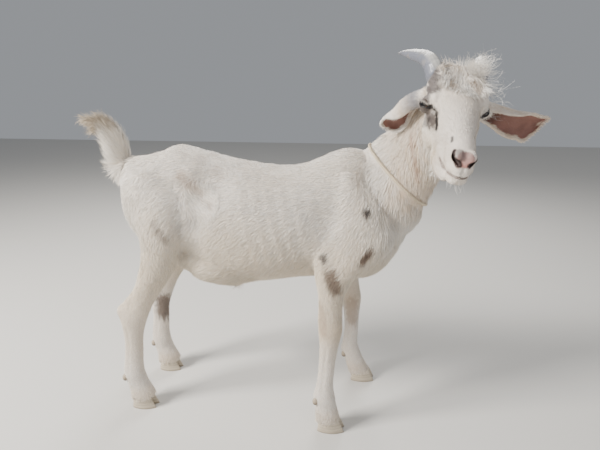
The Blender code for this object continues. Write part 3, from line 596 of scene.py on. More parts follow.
def fuse(name, pieces, voxel):
    """One closed skin round overlapping forms, by a voxel remesh."""
    shape = bmesh.new()
    for piece in pieces:
        shape.from_mesh(piece.data)
        bpy.data.objects.remove(piece)
    made = from_bmesh(name, shape)
    remesh = made.modifiers.new("fuse", "REMESH")
    remesh.mode = "VOXEL"
    remesh.voxel_size = voxel
    apply(made)
    return made


def smooth(mesh, rounds, strength=0.5):
    """Evens the surface, each inward round paid back by an outward one."""
    points = points_of(mesh)
    ends = np.empty(len(mesh.edges) * 2, int)
    mesh.edges.foreach_get("vertices", ends)
    a, b = ends.reshape(-1, 2).T
    count = len(points)
    near = np.bincount(a, minlength=count) + np.bincount(b, minlength=count)
    for turn in range(rounds * 2):
        pull = strength if turn % 2 == 0 else -strength * 1.04
        total = np.stack(
            [np.bincount(a, points[b, k], count) + np.bincount(b, points[a, k], count) for k in range(3)], 1
        )
        points = points + pull * (total / near[:, None] - points)
    put_points(mesh, points)


def eye_frame(side):
    """Axes at the middle of the eyeball: z looks out, x runs along the opening."""
    flat = math.cos(EYE_TURN_UP)
    out = Vector(
        (math.sin(EYE_TURN_FORWARD) * flat, side * math.cos(EYE_TURN_FORWARD) * flat, math.sin(EYE_TURN_UP))
    )
    slant = EYE_SLANT[side]
    forward = Vector((math.cos(slant), 0, -math.sin(slant)))
    forward = (forward - out * forward.dot(out)).normalized()
    turn = HEAD_FRAME.to_quaternion().to_matrix()
    out, forward = turn @ out, turn @ forward
    place = HEAD_FRAME @ Vector(LID_PLACE[side])
    place -= out * (EYE_RADIUS + LID_THICKNESS)
    return Matrix.Translation(place) @ Matrix((forward, out.cross(forward), out)).transposed().to_4x4()


def eye_local(points, side):
    """Points of the animal's frame in the frame of one eye."""
    place = eye_frame(side)
    return (points - np.array(place.translation)) @ np.array(place.to_3x3())


def cad_middle(node):
    low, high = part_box(node)
    return (low + high) / 2


# From the animal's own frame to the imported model's
OFFSET = cad_middle("eye_right") - eye_frame(-1).translation


def settled(thing):
    thing.data.transform(Matrix.Translation(OFFSET))


RELIEF_STRENGTH = 1.35
# Sculpted relief of the body: middle, radius, how far it stands out; on both sides unless y is 0
RELIEF = (
    ((-0.100, 0.074, 0.606), 0.024, 0.0060),
    ((-0.050, 0.088, 0.575), 0.044, -0.0085),
    ((-0.075, 0.094, 0.540), 0.024, -0.0045),
    ((-0.205, 0.070, 0.585), 0.030, 0.0030),
    ((-0.150, 0.096, 0.515), 0.048, 0.0055),
    ((-0.128, 0.094, 0.455), 0.030, 0.0055),
    ((-0.084, 0.100, 0.490), 0.022, -0.0060),
    ((-0.092, 0.098, 0.440), 0.022, -0.0045),
    ((-0.205, 0.080, 0.520), 0.034, -0.0035),
    ((-0.242, 0.066, 0.548), 0.020, 0.0030),
    ((-0.240, 0.060, 0.455), 0.035, -0.0040),
    ((0.245, 0.078, 0.590), 0.026, 0.0040),
    ((0.285, 0.080, 0.520), 0.036, 0.0035),
    ((0.325, 0.072, 0.470), 0.030, 0.0040),
    ((0.200, 0.092, 0.520), 0.034, -0.0045),
    ((0.190, 0.092, 0.440), 0.024, 0.0040),
    ((0.160, 0.098, 0.400), 0.020, -0.0035),
    ((0.260, 0.095, 0.420), 0.030, 0.0030),
    ((0.345, 0.000, 0.470), 0.034, 0.0050),
    ((0.352, 0.040, 0.512), 0.018, -0.0035),
    ((0.300, 0.062, 0.600), 0.034, -0.0045),
    ((-0.295, 0.077, 0.272), 0.013, 0.0026),
    ((-0.222, 0.095, 0.262), 0.016, 0.0014),
    ((-0.260, 0.096, 0.288), 0.011, -0.0032),
    ((-0.266, 0.096, 0.312), 0.012, -0.0034),
    ((-0.262, 0.098, 0.338), 0.014, -0.0030),
    ((-0.214, 0.104, 0.345), 0.024, 0.0030),
    ((-0.296, 0.086, 0.262), 0.011, 0.0026),
    ((0.238, 0.112, 0.268), 0.015, 0.0016),
    ((0.215, 0.094, 0.262), 0.014, 0.0012),
)
# Relief of the face in the head's frame: middle, radius in head lengths, how far it stands out in metres
FACE_RELIEF = (
    ((0.340, 0.175, 0.160), 0.050, 0.0022),
    ((0.455, 0.150, 0.065), 0.045, -0.0028),
    ((0.470, 0.150, -0.040), 0.050, 0.0022),
    ((0.560, 0.125, -0.060), 0.055, 0.0012),
    ((0.290, 0.175, -0.100), 0.085, 0.0020),
    ((0.420, 0.130, -0.200), 0.055, -0.0012),
    ((0.700, 0.100, -0.030), 0.060, -0.0016),
    ((0.330, 0.072, 0.245), 0.042, -0.0030),
    ((0.400, 0.000, 0.225), 0.050, 0.0012),
    ((0.945, 0.082, -0.030), 0.024, 0.0018),
    ((0.900, 0.080, 0.000), 0.024, 0.0010),
    ((0.962, 0.038, -0.108), 0.030, 0.0012),
    ((0.905, 0.075, -0.130), 0.035, 0.0012),
    ((0.945, 0.000, -0.195), 0.040, 0.0014),
)


def swell(at, table):
    """How far each point moves out for a table of rounded bumps and hollows."""
    out = np.zeros(len(at))
    for (x, y, z), radius, height in table:
        for side in (1, -1) if y else (1,):
            away = np.linalg.norm(at - (x, side * y, z), axis=1)
            out += height * np.exp(-((away / radius) ** 2))
    return out


def coat_depth(points):
    """How far the skin lies inside the outline of the coat."""
    q = to_head(points)
    face = ramp(q[:, 0], 0.00, 0.25) * (np.linalg.norm(q - (0.45, 0, 0), axis=1) < 0.95)
    nose = ramp(q[:, 0], 0.86, 0.94) * (np.abs(q[:, 1]) < 0.2)
    low = ramp(points[:, 2], 0.36, 0.24)
    depth = 0.0030 * (1 - face) + 0.0010 * face + 0.0035 * poll_share(q)
    depth = depth * (1 - low) + 0.0012 * low
    return depth * (1 - nose)


def sculpt(skin):
    """Muscle, bone and folds by moves along the normals, then the coat's depth taken off."""
    points, normals = points_of(skin.data), normals_of(skin.data)
    q = to_head(points)
    out = RELIEF_STRENGTH * swell(points, RELIEF) + swell(q, FACE_RELIEF)
    x, y, z = points.T
    back = ramp(z, 0.58, 0.62) * ramp(x, -0.24, -0.20) * ramp(x, 0.26, 0.22)
    out += 0.0022 * back * np.exp(-((y / 0.011) ** 2))
    out += 0.0008 * back * np.cos(2 * math.pi * x / 0.034) * np.exp(-((y / 0.010) ** 2))
    flank = ramp(x, -0.02, 0.02) * ramp(x, 0.19, 0.15) * ramp(z, 0.38, 0.42) * ramp(z, 0.60, 0.55)
    out += 0.0009 * flank * np.cos(2 * math.pi * (x + 0.25 * (z - 0.5)) / 0.030)
    shank = ramp(z, 0.24, 0.21) * ramp(z, 0.09, 0.12)
    for table, side, step in LEGS:
        rows = table_curve(table, z)
        ahead = table_curve(step, z)[:, 0] if step else 0.0
        rear, front = rows[:, 0] + ahead, rows[:, 1] + ahead
        here = (np.abs(x - (rear + front) / 2) < 0.05) & (side * y > 0.03)
        groove = rear + (front - rear) * 0.36
        out += -0.0016 * shank * here * np.exp(-(((x - groove) / 0.0042) ** 2))
    philtrum = ramp(q[:, 0], 0.955, 0.985) * ramp(q[:, 2], -0.060, -0.075) * ramp(q[:, 2], -0.150, -0.130)
    out -= 0.0016 * philtrum * np.exp(-((q[:, 1] / 0.008) ** 2))
    out += eyelid_folds(points)
    neck_part = ramp(x, 0.31, 0.33) * ramp(q[:, 0], 0.05, -0.10) * ramp(z, 0.50, 0.54)
    out += 0.0016 * neck_part * np.cos(2 * math.pi * (z * 0.85 + x * 0.5) / 0.030) * ramp(y, 0.02, -0.05)
    out += 0.0006 * waves(points, 0.045, 3) - coat_depth(points)
    put_points(skin.data, points + normals * out[:, None])


def eyelid_folds(points):
    """The soft lids: a swelling round each opening, a crease above it and a shallower one below."""
    out = np.zeros(len(points))
    for side in (1, -1):
        local = eye_local(points, side)
        near = ramp(np.abs(local[:, 0]), 0.0150, 0.0080) * (local[:, 2] > 0)
        arch = local[:, 1] + 40 * local[:, 0] ** 2
        out += 0.0007 * near * np.exp(-(((arch - 0.0062) / 0.0018) ** 2))
        out -= 0.0016 * near * np.exp(-(((arch - 0.0095) / 0.0012) ** 2))
        dip = local[:, 1] - 30 * local[:, 0] ** 2
        out -= 0.0010 * near * np.exp(-(((dip + 0.0090) / 0.0014) ** 2))
    return out


def almond(count, half_length, half_height):
    turn = 2 * math.pi * np.arange(count) / count
    rise = np.sin(turn) * np.abs(np.sin(turn)) ** 0.35
    return np.stack([half_length * np.cos(turn), half_height * rise], 1)


def eye_opening(side):
    """An almond prism that opens the lids, from the middle of the eye outwards."""
    outline = almond(40, *EYE_OPENING)
    rings = []
    for out, spread in ((0.0040, 0.88), (0.0300, 1.30)):
        rings.append(np.column_stack([outline * spread, np.full(len(outline), out)]))
    made = loft("opening", rings)
    made.data.transform(eye_frame(side))
    face_out(made)
    return made


def mouth_cutter():
    """A wedge bent round the muzzle, sharp inside, that leaves the line between the lips."""
    table = numbered(MOUTH)
    half = table_curve(table, stations(table, 8))
    high = Vector((0, 0, MOUTH_HEIGHT / HEAD_LENGTH))
    path = np.concatenate([half, half[-2::-1] * (1, -1, 1)])
    along = np.gradient(path, axis=0)
    rings = []
    for point, way, end in zip(path, along, np.linspace(-1, 1, len(path))):
        out = Vector((way[1], -way[0], 0)).normalized() * -1
        if out.dot(Vector((point[0] - 0.80, point[1], 0))) < 0:
            out = -out
        fade = 1 - 0.6 * max(0.0, (abs(end) - 0.8) / 0.2)
        centre = Vector(point)
        outer = centre + out * 0.020
        inner = centre - out * MOUTH_DEPTH * fade / HEAD_LENGTH
        rings.append(np.array([outer + high, inner, outer - high]))
    made = loft("mouth", rings)
    made.data.transform(HEAD_FRAME)
    face_out(made)
    return made


def nostril_cutter(side):
    table = numbered(NOSTRIL)
    rows = table_curve(table, stations(table, 6))
    centres = [HEAD_FRAME @ Vector((x, side * y, z)) for x, y, z, _ in rows]
    return limb("nostril", [tuple(p) for p in centres], [(0, 0, 1)] * len(rows), rows[:, 3], rows[:, 3], 20)


def ear_surface(word):
    """Rows of points across the hollow of the ear, from root to tip, and the points of its axis."""
    axis, root_faces, tip_faces, turning, broad, roll, drift = EARS[word]
    table = numbered([HEAD_FRAME @ Vector(p) for p in axis])
    at = np.linspace(0, 1, EAR_STEPS)
    centres = table_curve(table, at * (len(axis) - 1))
    along = np.gradient(centres, axis=0)
    turn = HEAD_FRAME.to_quaternion()
    widest = max(row[1] for row in EAR_SECTION[word])
    rows = []
    for centre, way, t, (half, angle) in zip(centres, along, at, table_curve(EAR_SECTION[word], at)):
        way = Vector(way).normalized()
        faces = turn @ Vector(root_faces).lerp(Vector(tip_faces), float(ramp(np.array(t), *turning)))
        faces = (faces - way * faces.dot(way)).normalized()
        across = way.cross(faces)
        angle = min(math.radians(angle) * roll, math.radians(160))
        radius = half * broad / angle
        deep = radius * (1 - math.cos(angle))
        shift = across * drift * (widest - half) * float(ramp(np.array(t), 0.62, 0.80))
        row = []
        for s in np.linspace(-1, 1, EAR_ACROSS + 1):
            reach = radius * (1 - math.cos(s * angle)) - 0.6 * deep
            fold = 0.0006 * math.sin(9 * s + 7 * t) * (1 - t)
            aside = across * radius * math.sin(s * angle)
            row.append(Vector(centre) + shift + aside + faces * (reach + fold))
        rows.append(row)
    return rows, centres


def ear(word):
    rows, centres = ear_surface(word)
    wide = EAR_ACROSS + 1
    faces = []
    for r in range(EAR_STEPS - 1):
        for s in range(EAR_ACROSS):
            a = r * wide + s
            faces.append((a, a + 1, a + wide + 1, a + wide))
    made = mesh_object("ear_" + word, [p for row in rows for p in row], faces)
    shell = made.modifiers.new("thickness", "SOLIDIFY")
    shell.thickness = EAR_THICKNESS
    shell.offset = 0
    apply(made)
    triangulate(made)
    face_out(made)
    way = (centres[0] - centres[10]) / np.linalg.norm(centres[0] - centres[10])
    root = [centres[0] + way * k for k in (0.016, 0.006, -0.008, -0.020)]
    radii = [0.0100, 0.0120, 0.0125, 0.0090]
    plug = limb("plug", root, [(0, 0, 1)] * 4, radii, radii, 32)
    boolean(made, "UNION", plug)
    return made


def thin_body(skin):
    """Fewer faces on the body, the head kept fine."""
    points = points_of(skin.data)
    q = to_head(points)
    body = skin.vertex_groups.new(name="body")
    coarse = np.nonzero(~((q[:, 0] > -0.05) & (np.linalg.norm(q - (0.45, 0, 0), axis=1) < 0.75)))[0]
    body.add(coarse.tolist(), 1.0, "REPLACE")
    step = skin.modifiers.new("thin", "DECIMATE")
    step.ratio = SKIN_TRIANGLES / (2 * len(skin.data.polygons))
    step.vertex_group = "body"
    step.vertex_group_factor = 1.0
    step.use_collapse_triangulate = True
    apply(skin)
    skin.vertex_groups.clear()


def make_skin():
    forms = [torso(), neck(), head(), tail()]
    for side in (1, -1):
        forms.append(leg("hind", HIND_LEG, side))
        forms.append(leg("fore", FORE_LEG, side, LEFT_STEP if side > 0 else None))
        forms.append(ball("orbit", (0, 0, 0), (EYE_RADIUS + LID_THICKNESS,) * 3, eye_frame(side)))
    forms += masses(BODY_MASSES, Matrix()) + masses(HEAD_MASSES, HEAD_FRAME)
    skin = fuse("skin", forms, SKIN_VOXEL)
    smooth(skin.data, 14)
    sculpt(skin)
    smooth(skin.data, 2)
    thin_body(skin)
    for side, word in ((1, "left"), (-1, "right")):
        boolean(skin, "UNION", ear(word))
        boolean(skin, "DIFFERENCE", ball("socket", (0, 0, 0), (EYE_RADIUS + 0.0001,) * 3, eye_frame(side)))
        boolean(skin, "DIFFERENCE", eye_opening(side))
        boolean(skin, "DIFFERENCE", nostril_cutter(side))
    boolean(skin, "DIFFERENCE", mouth_cutter())
    boolean(skin, "DIFFERENCE", feet_cutter())
    return skin


def feet():
    """Every foot: name, heel x, toe x, distance from the mid plane, side."""
    for side, word in ((1, "left"), (-1, "right")):
        step = FORE_STEP if side > 0 else 0.0
        heel, toe, out = FORE_FOOT
        yield "fore_" + word, heel + step, toe + step, out, side
        yield "hind_" + word, *HIND_FOOT, side


def coronet_middle(heel, toe):
    return (heel + toe) / 2 - 0.004


def feet_cutter():
    """Blocks that end the skin above the hooves, on the coronet's slope."""
    shape = bmesh.new()
    low = 0.08
    for _, heel, toe, out, side in feet():
        middle = Matrix.Translation((coronet_middle(heel, toe), side * out, CORONET_LEVEL))
        slope = Matrix.Rotation(-math.atan(CORONET_RISE), 4, "Y")
        block = Matrix.Translation((0, 0, -low / 2)) @ Matrix.Diagonal((0.09, 0.07, low, 1))
        bmesh.ops.create_cube(shape, size=1, matrix=middle @ slope @ block)
    return from_bmesh("below", shape)


# Colours and markings


def linear(red, green, blue):
    """A colour given in display values, as the shader wants it."""
    rgb = np.array((red, green, blue), float)
    return np.where(rgb <= 0.04045, rgb / 12.92, ((rgb + 0.055) / 1.055) ** 2.4)


WHITE = linear(0.95, 0.93, 0.90)
CREAM = linear(0.91, 0.86, 0.78)
STRAW = linear(0.80, 0.70, 0.55)
GREY = linear(0.40, 0.37, 0.36)
DARK = linear(0.13, 0.11, 0.10)
BROWN = linear(0.40, 0.31, 0.25)
# Brown painted shade for the crease between jaw and neck
CREASE_SHADE_BROWN = linear(0.66, 0.48, 0.35)
TAN = linear(0.68, 0.58, 0.49)
# Blue-grey painted shadow for the outer side of the right ear
EAR_SHADOW_BLUE_GREY = linear(0.52, 0.53, 0.57)
PINK = linear(0.80, 0.62, 0.58)
# Inside of the ears: pink skin darkened with painted shade, and a darker painted shade for the root of the
# hollow
INNER_EAR_SHADED = linear(0.56, 0.39, 0.35)
EAR_ROOT_SHADE = linear(0.36, 0.23, 0.19)
THROAT = linear(0.86, 0.76, 0.64)
BRUSH = linear(0.66, 0.59, 0.49)
POLL_WHITE = linear(0.99, 0.975, 0.95)
UNDER_EYE = linear(0.36, 0.32, 0.30)
# Colour of the two forehead hollows: tan stain in part, partly painted shade of the hollows
HOLLOW_TAN_AND_SHADE = linear(0.66, 0.56, 0.46)
SHOULDER_SPOT = linear(0.28, 0.25, 0.24)
ELBOW_SPOT = linear(0.33, 0.30, 0.29)
SHANK_PATCH = linear(0.36, 0.27, 0.21)
NOSE_GREY = linear(0.34, 0.28, 0.26)
NOSE_TOP = linear(0.54, 0.45, 0.43)
NOSE_RED = linear(0.74, 0.47, 0.42)
NOSTRIL_DARK = linear(0.10, 0.055, 0.05)
LIP = linear(0.36, 0.27, 0.24)
LID = linear(0.12, 0.09, 0.08)
LID_RIM = linear(0.10, 0.08, 0.075)
EYE_WHITE = linear(0.24, 0.19, 0.16)
IRIS = linear(0.24, 0.16, 0.09)
PUPIL = linear(0.03, 0.03, 0.04)
HORN_GREY = linear(0.44, 0.45, 0.49)
# Painted highlight along the top of the horns
HORN_TOP_HIGHLIGHT = linear(0.76, 0.75, 0.72)
HORN_ROOT = linear(0.66, 0.60, 0.52)
HORN_TIP = linear(0.36, 0.35, 0.35)
HORN_RING = linear(0.38, 0.38, 0.41)
HORN_STAIN = linear(0.62, 0.58, 0.52)
HOOF = linear(0.76, 0.71, 0.63)
HOOF_GROWTH = linear(0.64, 0.59, 0.51)
HOOF_CORONET = linear(0.84, 0.79, 0.72)
HOOF_SOLE = linear(0.52, 0.46, 0.39)
DEWCLAW = linear(0.68, 0.62, 0.54)
DEWCLAW_TIP = linear(0.45, 0.40, 0.35)
ROPE = linear(0.80, 0.74, 0.64)
FLOOR = linear(0.80, 0.79, 0.77)

# The patch under the right eye and the streak from its corner, in the head's frame; the line of painted shade,
# in brown, along the crease between jaw and neck
CHEEK_PATCH = ((0.380, -0.226, 0.030), (0.420, -0.180, 0.000), (0.470, -0.162, 0.010))
TEAR_STREAK = (
    (0.406, -0.187, 0.082),
    (0.453, -0.166, 0.065),
    (0.504, -0.151, 0.042),
    (0.540, -0.144, 0.013),
    (0.548, -0.142, -0.014),
)
NECK_CREASE_SHADE = (
    (0.364, -0.129, 0.707),
    (0.370, -0.131, 0.670),
    (0.380, -0.123, 0.631),
    (0.384, -0.110, 0.590),
)
# Marks, a few of them painted shade: frame, points along the middle, radius, colour, strength. Head marks are
# in head lengths.
MARKS = (
    ("head", ((0.190, -0.187, 0.258), (0.250, -0.190, 0.242), (0.322, -0.190, 0.182)), 0.060, GREY, 0.97),
    ("head", ((0.310, -0.215, 0.165), (0.350, -0.226, 0.130)), 0.042, GREY, 0.92),
    ("head", CHEEK_PATCH, 0.062, UNDER_EYE, 0.92),
    ("head", ((0.306, -0.190, -0.043), (0.400, -0.178, -0.030)), 0.050, GREY, 0.70),
    ("head", TEAR_STREAK, 0.021, DARK, 0.97),
    ("head", ((0.398, -0.183, 0.003), (0.382, -0.180, -0.045)), 0.012, DARK, 0.75),
    ("head", ((0.792, -0.074, 0.036), (0.819, -0.076, 0.020)), 0.013, DARK, 0.85),
    # The two hollows of the forehead: tan in part, and partly painted shade
    ("head", ((0.280, -0.045, 0.255), (0.345, -0.035, 0.240)), 0.038, HOLLOW_TAN_AND_SHADE, 0.72),
    ("head", ((0.260, 0.085, 0.262), (0.325, 0.098, 0.238)), 0.036, HOLLOW_TAN_AND_SHADE, 0.68),
    ("head", ((0.955, -0.060, 0.006), (0.965, -0.038, 0.016)), 0.024, GREY, 0.65),
    # Painted shade, in brown, along the crease between jaw and neck
    ("body", NECK_CREASE_SHADE, 0.0050, CREASE_SHADE_BROWN, 0.55),
    ("body", ((0.291, -0.087, 0.541), (0.291, -0.087, 0.536)), 0.0082, SHOULDER_SPOT, 0.98),
    ("body", ((0.204, -0.102, 0.437), (0.205, -0.103, 0.432)), 0.0085, ELBOW_SPOT, 0.92),
    ("body", ((0.302, -0.101, 0.462), (0.292, -0.104, 0.447), (0.285, -0.105, 0.437)), 0.0085, BROWN, 0.92),
    ("body", ((0.220, -0.112, 0.405), (0.226, -0.115, 0.388), (0.230, -0.116, 0.372)), 0.0150, BROWN, 0.80),
    ("body", ((0.195, -0.105, 0.325), (0.199, -0.112, 0.295), (0.201, -0.112, 0.262)), 0.0120, TAN, 0.45),
    ("body", ((-0.168, -0.107, 0.500), (-0.146, -0.103, 0.462)), 0.0100, BROWN, 0.50),
    # Over the hollow in front of the hip: grey and tan hair in part, and partly painted shade of the hollow
    ("body", ((-0.111, -0.071, 0.598), (-0.081, -0.082, 0.570), (-0.060, -0.090, 0.545)), 0.0130, TAN, 0.50),
    ("body", ((-0.066, -0.086, 0.556), (-0.064, -0.092, 0.537)), 0.0110, GREY, 0.45),
    ("body", ((-0.041, -0.053, 0.610),), 0.0120, TAN, 0.30),
    ("body", ((-0.024, -0.062, 0.598),), 0.0100, TAN, 0.25),
    ("body", ((-0.076, -0.040, 0.629),), 0.0160, TAN, 0.18),
    ("body", ((-0.053, -0.070, 0.379), (-0.062, -0.066, 0.377)), 0.0060, GREY, 0.60),
    ("body", ((-0.250, 0.062, 0.225), (-0.254, 0.066, 0.185)), 0.0230, SHANK_PATCH, 0.80),
    ("body", ((0.264, 0.075, 0.245), (0.266, 0.084, 0.190)), 0.0180, TAN, 0.55),
)


def away_from(points, path):
    """The distance of each point from a line through the points of the path."""
    path = [np.array(p, float) for p in path]
    best = np.linalg.norm(points - path[0], axis=1)
    for a, b in zip(path, path[1:]):
        t = np.clip((points - a) @ (b - a) / ((b - a) @ (b - a)), 0, 1)
        best = np.minimum(best, np.linalg.norm(points - a - t[:, None] * (b - a), axis=1))
    return best


def mix(colours, other, share):
    share = np.clip(share, 0, 1)[:, None]
    return colours * (1 - share) + other * share


def tint(points, q, ears):
    """The colour of skin and coat at each point; q is the same point in the head's frame."""
    x, _, z = points.T
    colours = np.tile(WHITE, (len(points), 1))
    patchy = 0.5 + 0.5 * waves(points, 0.16, 5)
    colours = mix(colours, CREAM, 0.35 * patchy)
    low = ramp(z, 0.50, 0.38) * ramp(z, 0.20, 0.34)
    colours = mix(colours, CREAM, 0.75 * low)
    throat = ramp(x, 0.30, 0.37) * ramp(q[:, 0], 0.35, 0.05) * ramp(z, 0.50, 0.56)
    streaks = waves(points * (1, 1, 0.10), 0.010, 6)
    colours = mix(colours, THROAT, throat * (0.48 + 0.30 * streaks))
    jowl = ramp(q[:, 2], -0.08, -0.20) * ramp(q[:, 0], 0.10, 0.30) * ramp(q[:, 0], 0.80, 0.60)
    colours = mix(colours, CREAM, 0.55 * jowl)
    colours = mix(colours, STRAW, 0.30 * ramp(z, 0.075, 0.045))
    knees = np.exp(-(((z - 0.262) / 0.030) ** 2)) * ramp(x, 0.1, 0.2)
    colours = mix(colours, STRAW, 0.30 * knees)
    brush = ramp(x, -0.285, -0.30) * ramp(z, 0.655, 0.695)
    colours = mix(colours, BRUSH, 0.85 * brush)
    ragged = 1 + 0.35 * waves(points, 0.012, 8) + 0.2 * waves(points, 0.005, 9)
    for where, path, radius, colour, strength in MARKS:
        far = away_from(q if where == "head" else points, path) / (radius * ragged)
        colours = mix(colours, colour, strength * ramp(far, 1.25, 0.65))
    outer, inner, along = ears
    # Outer side of the right ear: painted shadow in blue-grey over its root half, plain white towards the tip
    colours = mix(colours, EAR_SHADOW_BLUE_GREY, outer["right"] * ramp(along["right"], 0.50, 0.10) * 0.8)
    colours = mix(colours, WHITE, outer["right"] * ramp(along["right"], 0.45, 0.70))
    for word in EARS:
        # Insides of the ears: skin colour darkened with painted shade, deepest towards the root, with some
        # random darker patches
        colours = mix(colours, INNER_EAR_SHADED, inner[word] * 0.95)
        deep = ramp(along[word], 0.55, 0.05) * 0.8 + 0.3 * ramp(waves(points, 0.03, 14), 0.0, 0.8)
        colours = mix(colours, EAR_ROOT_SHADE, inner[word] * deep)
    return colours * (1 + 0.03 * waves(points, 0.02, 12))[:, None]


def nose_share(q):
    """Where the bare pad of the nose is: 1 on it, 0 in the coat."""
    far = np.linalg.norm((q - (0.985, 0.0, -0.022)) / (0.060, 0.062, 0.052), axis=1)
    pad = ramp(far, 1.10, 0.90)
    return np.maximum(pad, nostril_share(q))


def nostril_share(q):
    """The bare dark inside of the nostrils."""
    far = np.full(len(q), 9.0)
    rows = [row[:3] for row in NOSTRIL]
    for side in (1, -1):
        far = np.minimum(far, away_from(q, [(x, side * y, z) for x, y, z in rows]) * (1.15 + 0.15 * side))
    return ramp(far, 0.030, 0.021)


def lip_share(q):
    """A narrow bare border along the mouth."""
    table = numbered(MOUTH)
    half = table_curve(table, stations(table, 6))
    far = np.full(len(q), 9.0)
    for side in (1, -1):
        far = np.minimum(far, away_from(q, half * (1, side, 1)))
    return ramp(far, 0.020, 0.009)


def lid_share(points):
    """The bare dark rim round each eye."""
    share = np.zeros(len(points))
    for side in (1, -1):
        local = eye_local(points, side)
        oval = np.hypot(local[:, 0] / EYE_OPENING[0], local[:, 1] / EYE_OPENING[1])
        share += ramp(oval, 1.75, 1.30) * (local[:, 2] > 0) * (np.abs(local[:, 0]) < 0.03)
    return np.clip(share, 0, 1)


def bare_colours(colours, points, q):
    """The skin's own colours where no coat hides it."""
    nose = nose_share(q)
    pink = np.tile(PINK, (len(points), 1))
    mottle = ramp(waves(points, 0.014, 21) + 0.5 * waves(points, 0.005, 22), -0.4, 0.4)
    upper = ramp(q[:, 1], 0.040, -0.025) * ramp(q[:, 2], -0.055, -0.025)
    pink = mix(pink, NOSE_GREY, 0.90 * np.clip(0.35 + mottle, 0, 1) * upper)
    pink = mix(pink, NOSE_TOP, 0.80 * ramp(q[:, 2], -0.042, -0.010) * (0.6 + 0.4 * mottle))
    pink = mix(pink, NOSE_RED, 0.6 * ramp(q[:, 2], -0.035, -0.065))
    pink = mix(pink, NOSTRIL_DARK, 0.96 * nostril_share(q))
    colours = colours * (1 - nose[:, None]) + pink * nose[:, None]
    colours = mix(colours, LIP, 0.85 * lip_share(q) * (1 - nose))
    return mix(colours, LID, 0.95 * lid_share(points))


def ear_map(points):
    """For each ear: how far a point belongs to its outer side, to its inner side, and its place along it."""
    outer, inner, along = {}, {}, {}
    for word in EARS:
        rows, _ = ear_surface(word)
        grid = np.array([[tuple(p) for p in row] for row in rows])
        across = np.gradient(grid, axis=1)
        length = np.gradient(grid, axis=0)
        facing = unit(np.cross(length, across))
        faces = HEAD_FRAME.to_quaternion() @ Vector(EARS[word][1])
        if (facing[6, EAR_ACROSS // 2] @ np.array(faces)) < 0:
            facing = -facing
        high_first = grid[6, 0, 2] > grid[6, -1, 2]
        flat, facing = grid.reshape(-1, 3), facing.reshape(-1, 3)
        outer[word], inner[word] = np.zeros(len(points)), np.zeros(len(points))
        along[word] = np.zeros(len(points))
        near = np.nonzero(np.linalg.norm(points - flat.mean(0), axis=1) < 0.16)[0]
        tree = kdtree.KDTree(len(flat))
        for i, p in enumerate(flat):
            tree.insert(p, i)
        tree.balance()
        for k in near:
            _, i, far = tree.find(points[k])
            if far < 0.0035:
                out = (points[k] - flat[i]) @ facing[i]
                lane = (i % (EAR_ACROSS + 1)) / EAR_ACROSS
                lane = lane if high_first else 1 - lane
                frill = 0.012 * math.sin(420 * points[k][0]) + 0.012 * math.sin(330 * points[k][2])
                share = i / len(flat)
                edge = lane < 0.10 + 0.16 * (1 - share) + frill or lane > 0.91 + frill or share > 0.96 + frill
                inner[word][k] = 1.0 if out > 0.0004 and not edge else 0.0
                outer[word][k] = 1.0 - inner[word][k]
                along[word][k] = (i // (EAR_ACROSS + 1)) / (EAR_STEPS - 1)
    return outer, inner, along


# Materials


def material(name, colour=(0.8, 0.8, 0.8), rough=0.6, **sockets):
    made = bpy.data.materials.new(name)
    made.use_nodes = True
    shader = made.node_tree.nodes["Principled BSDF"]
    shader.inputs["Base Color"].default_value = (*colour, 1)
    shader.inputs["Roughness"].default_value = rough
    for socket, value in sockets.items():
        shader.inputs[socket.replace("_", " ")].default_value = value
    return made


def bump(made, scale, distance, strength=0.5):
    """Gives a material fine relief by noise of the given scale."""
    tree = made.node_tree
    place = tree.nodes.new("ShaderNodeTexCoord")
    noise = tree.nodes.new("ShaderNodeTexNoise")
    noise.inputs["Scale"].default_value = scale
    noise.inputs["Detail"].default_value = 3.0
    tree.links.new(place.outputs["Object"], noise.inputs["Vector"])
    step = tree.nodes.new("ShaderNodeBump")
    step.inputs["Distance"].default_value = distance
    step.inputs["Strength"].default_value = strength
    tree.links.new(noise.outputs["Fac"], step.inputs["Height"])
    tree.links.new(step.outputs["Normal"], tree.nodes["Principled BSDF"].inputs["Normal"])
    return made


COLOUR_LAYER = "colour"


def painted(made):
    """Takes the base colour from the mesh's own colours."""
    tree = made.node_tree
    source = tree.nodes.new("ShaderNodeAttribute")
    source.attribute_name = COLOUR_LAYER
    tree.links.new(source.outputs["Color"], tree.nodes["Principled BSDF"].inputs["Base Color"])
    return made


def put_colours(mesh, colours):
    flat = np.ones((len(mesh.vertices), 4), np.float32)
    flat[:, :3] = colours
    layer = mesh.color_attributes.new(COLOUR_LAYER, "FLOAT_COLOR", "POINT")
    layer.data.foreach_set("color", flat.ravel())


def finish_piece(thing, made, slot, *nodes):
    thing.data.materials.clear()
    thing.data.materials.append(made)
    thing.data.polygons.foreach_set("use_smooth", np.ones(len(thing.data.polygons), bool))
    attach(thing, "root")
    if nodes:
        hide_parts(*nodes)


# Eyes, horns, hooves and rope


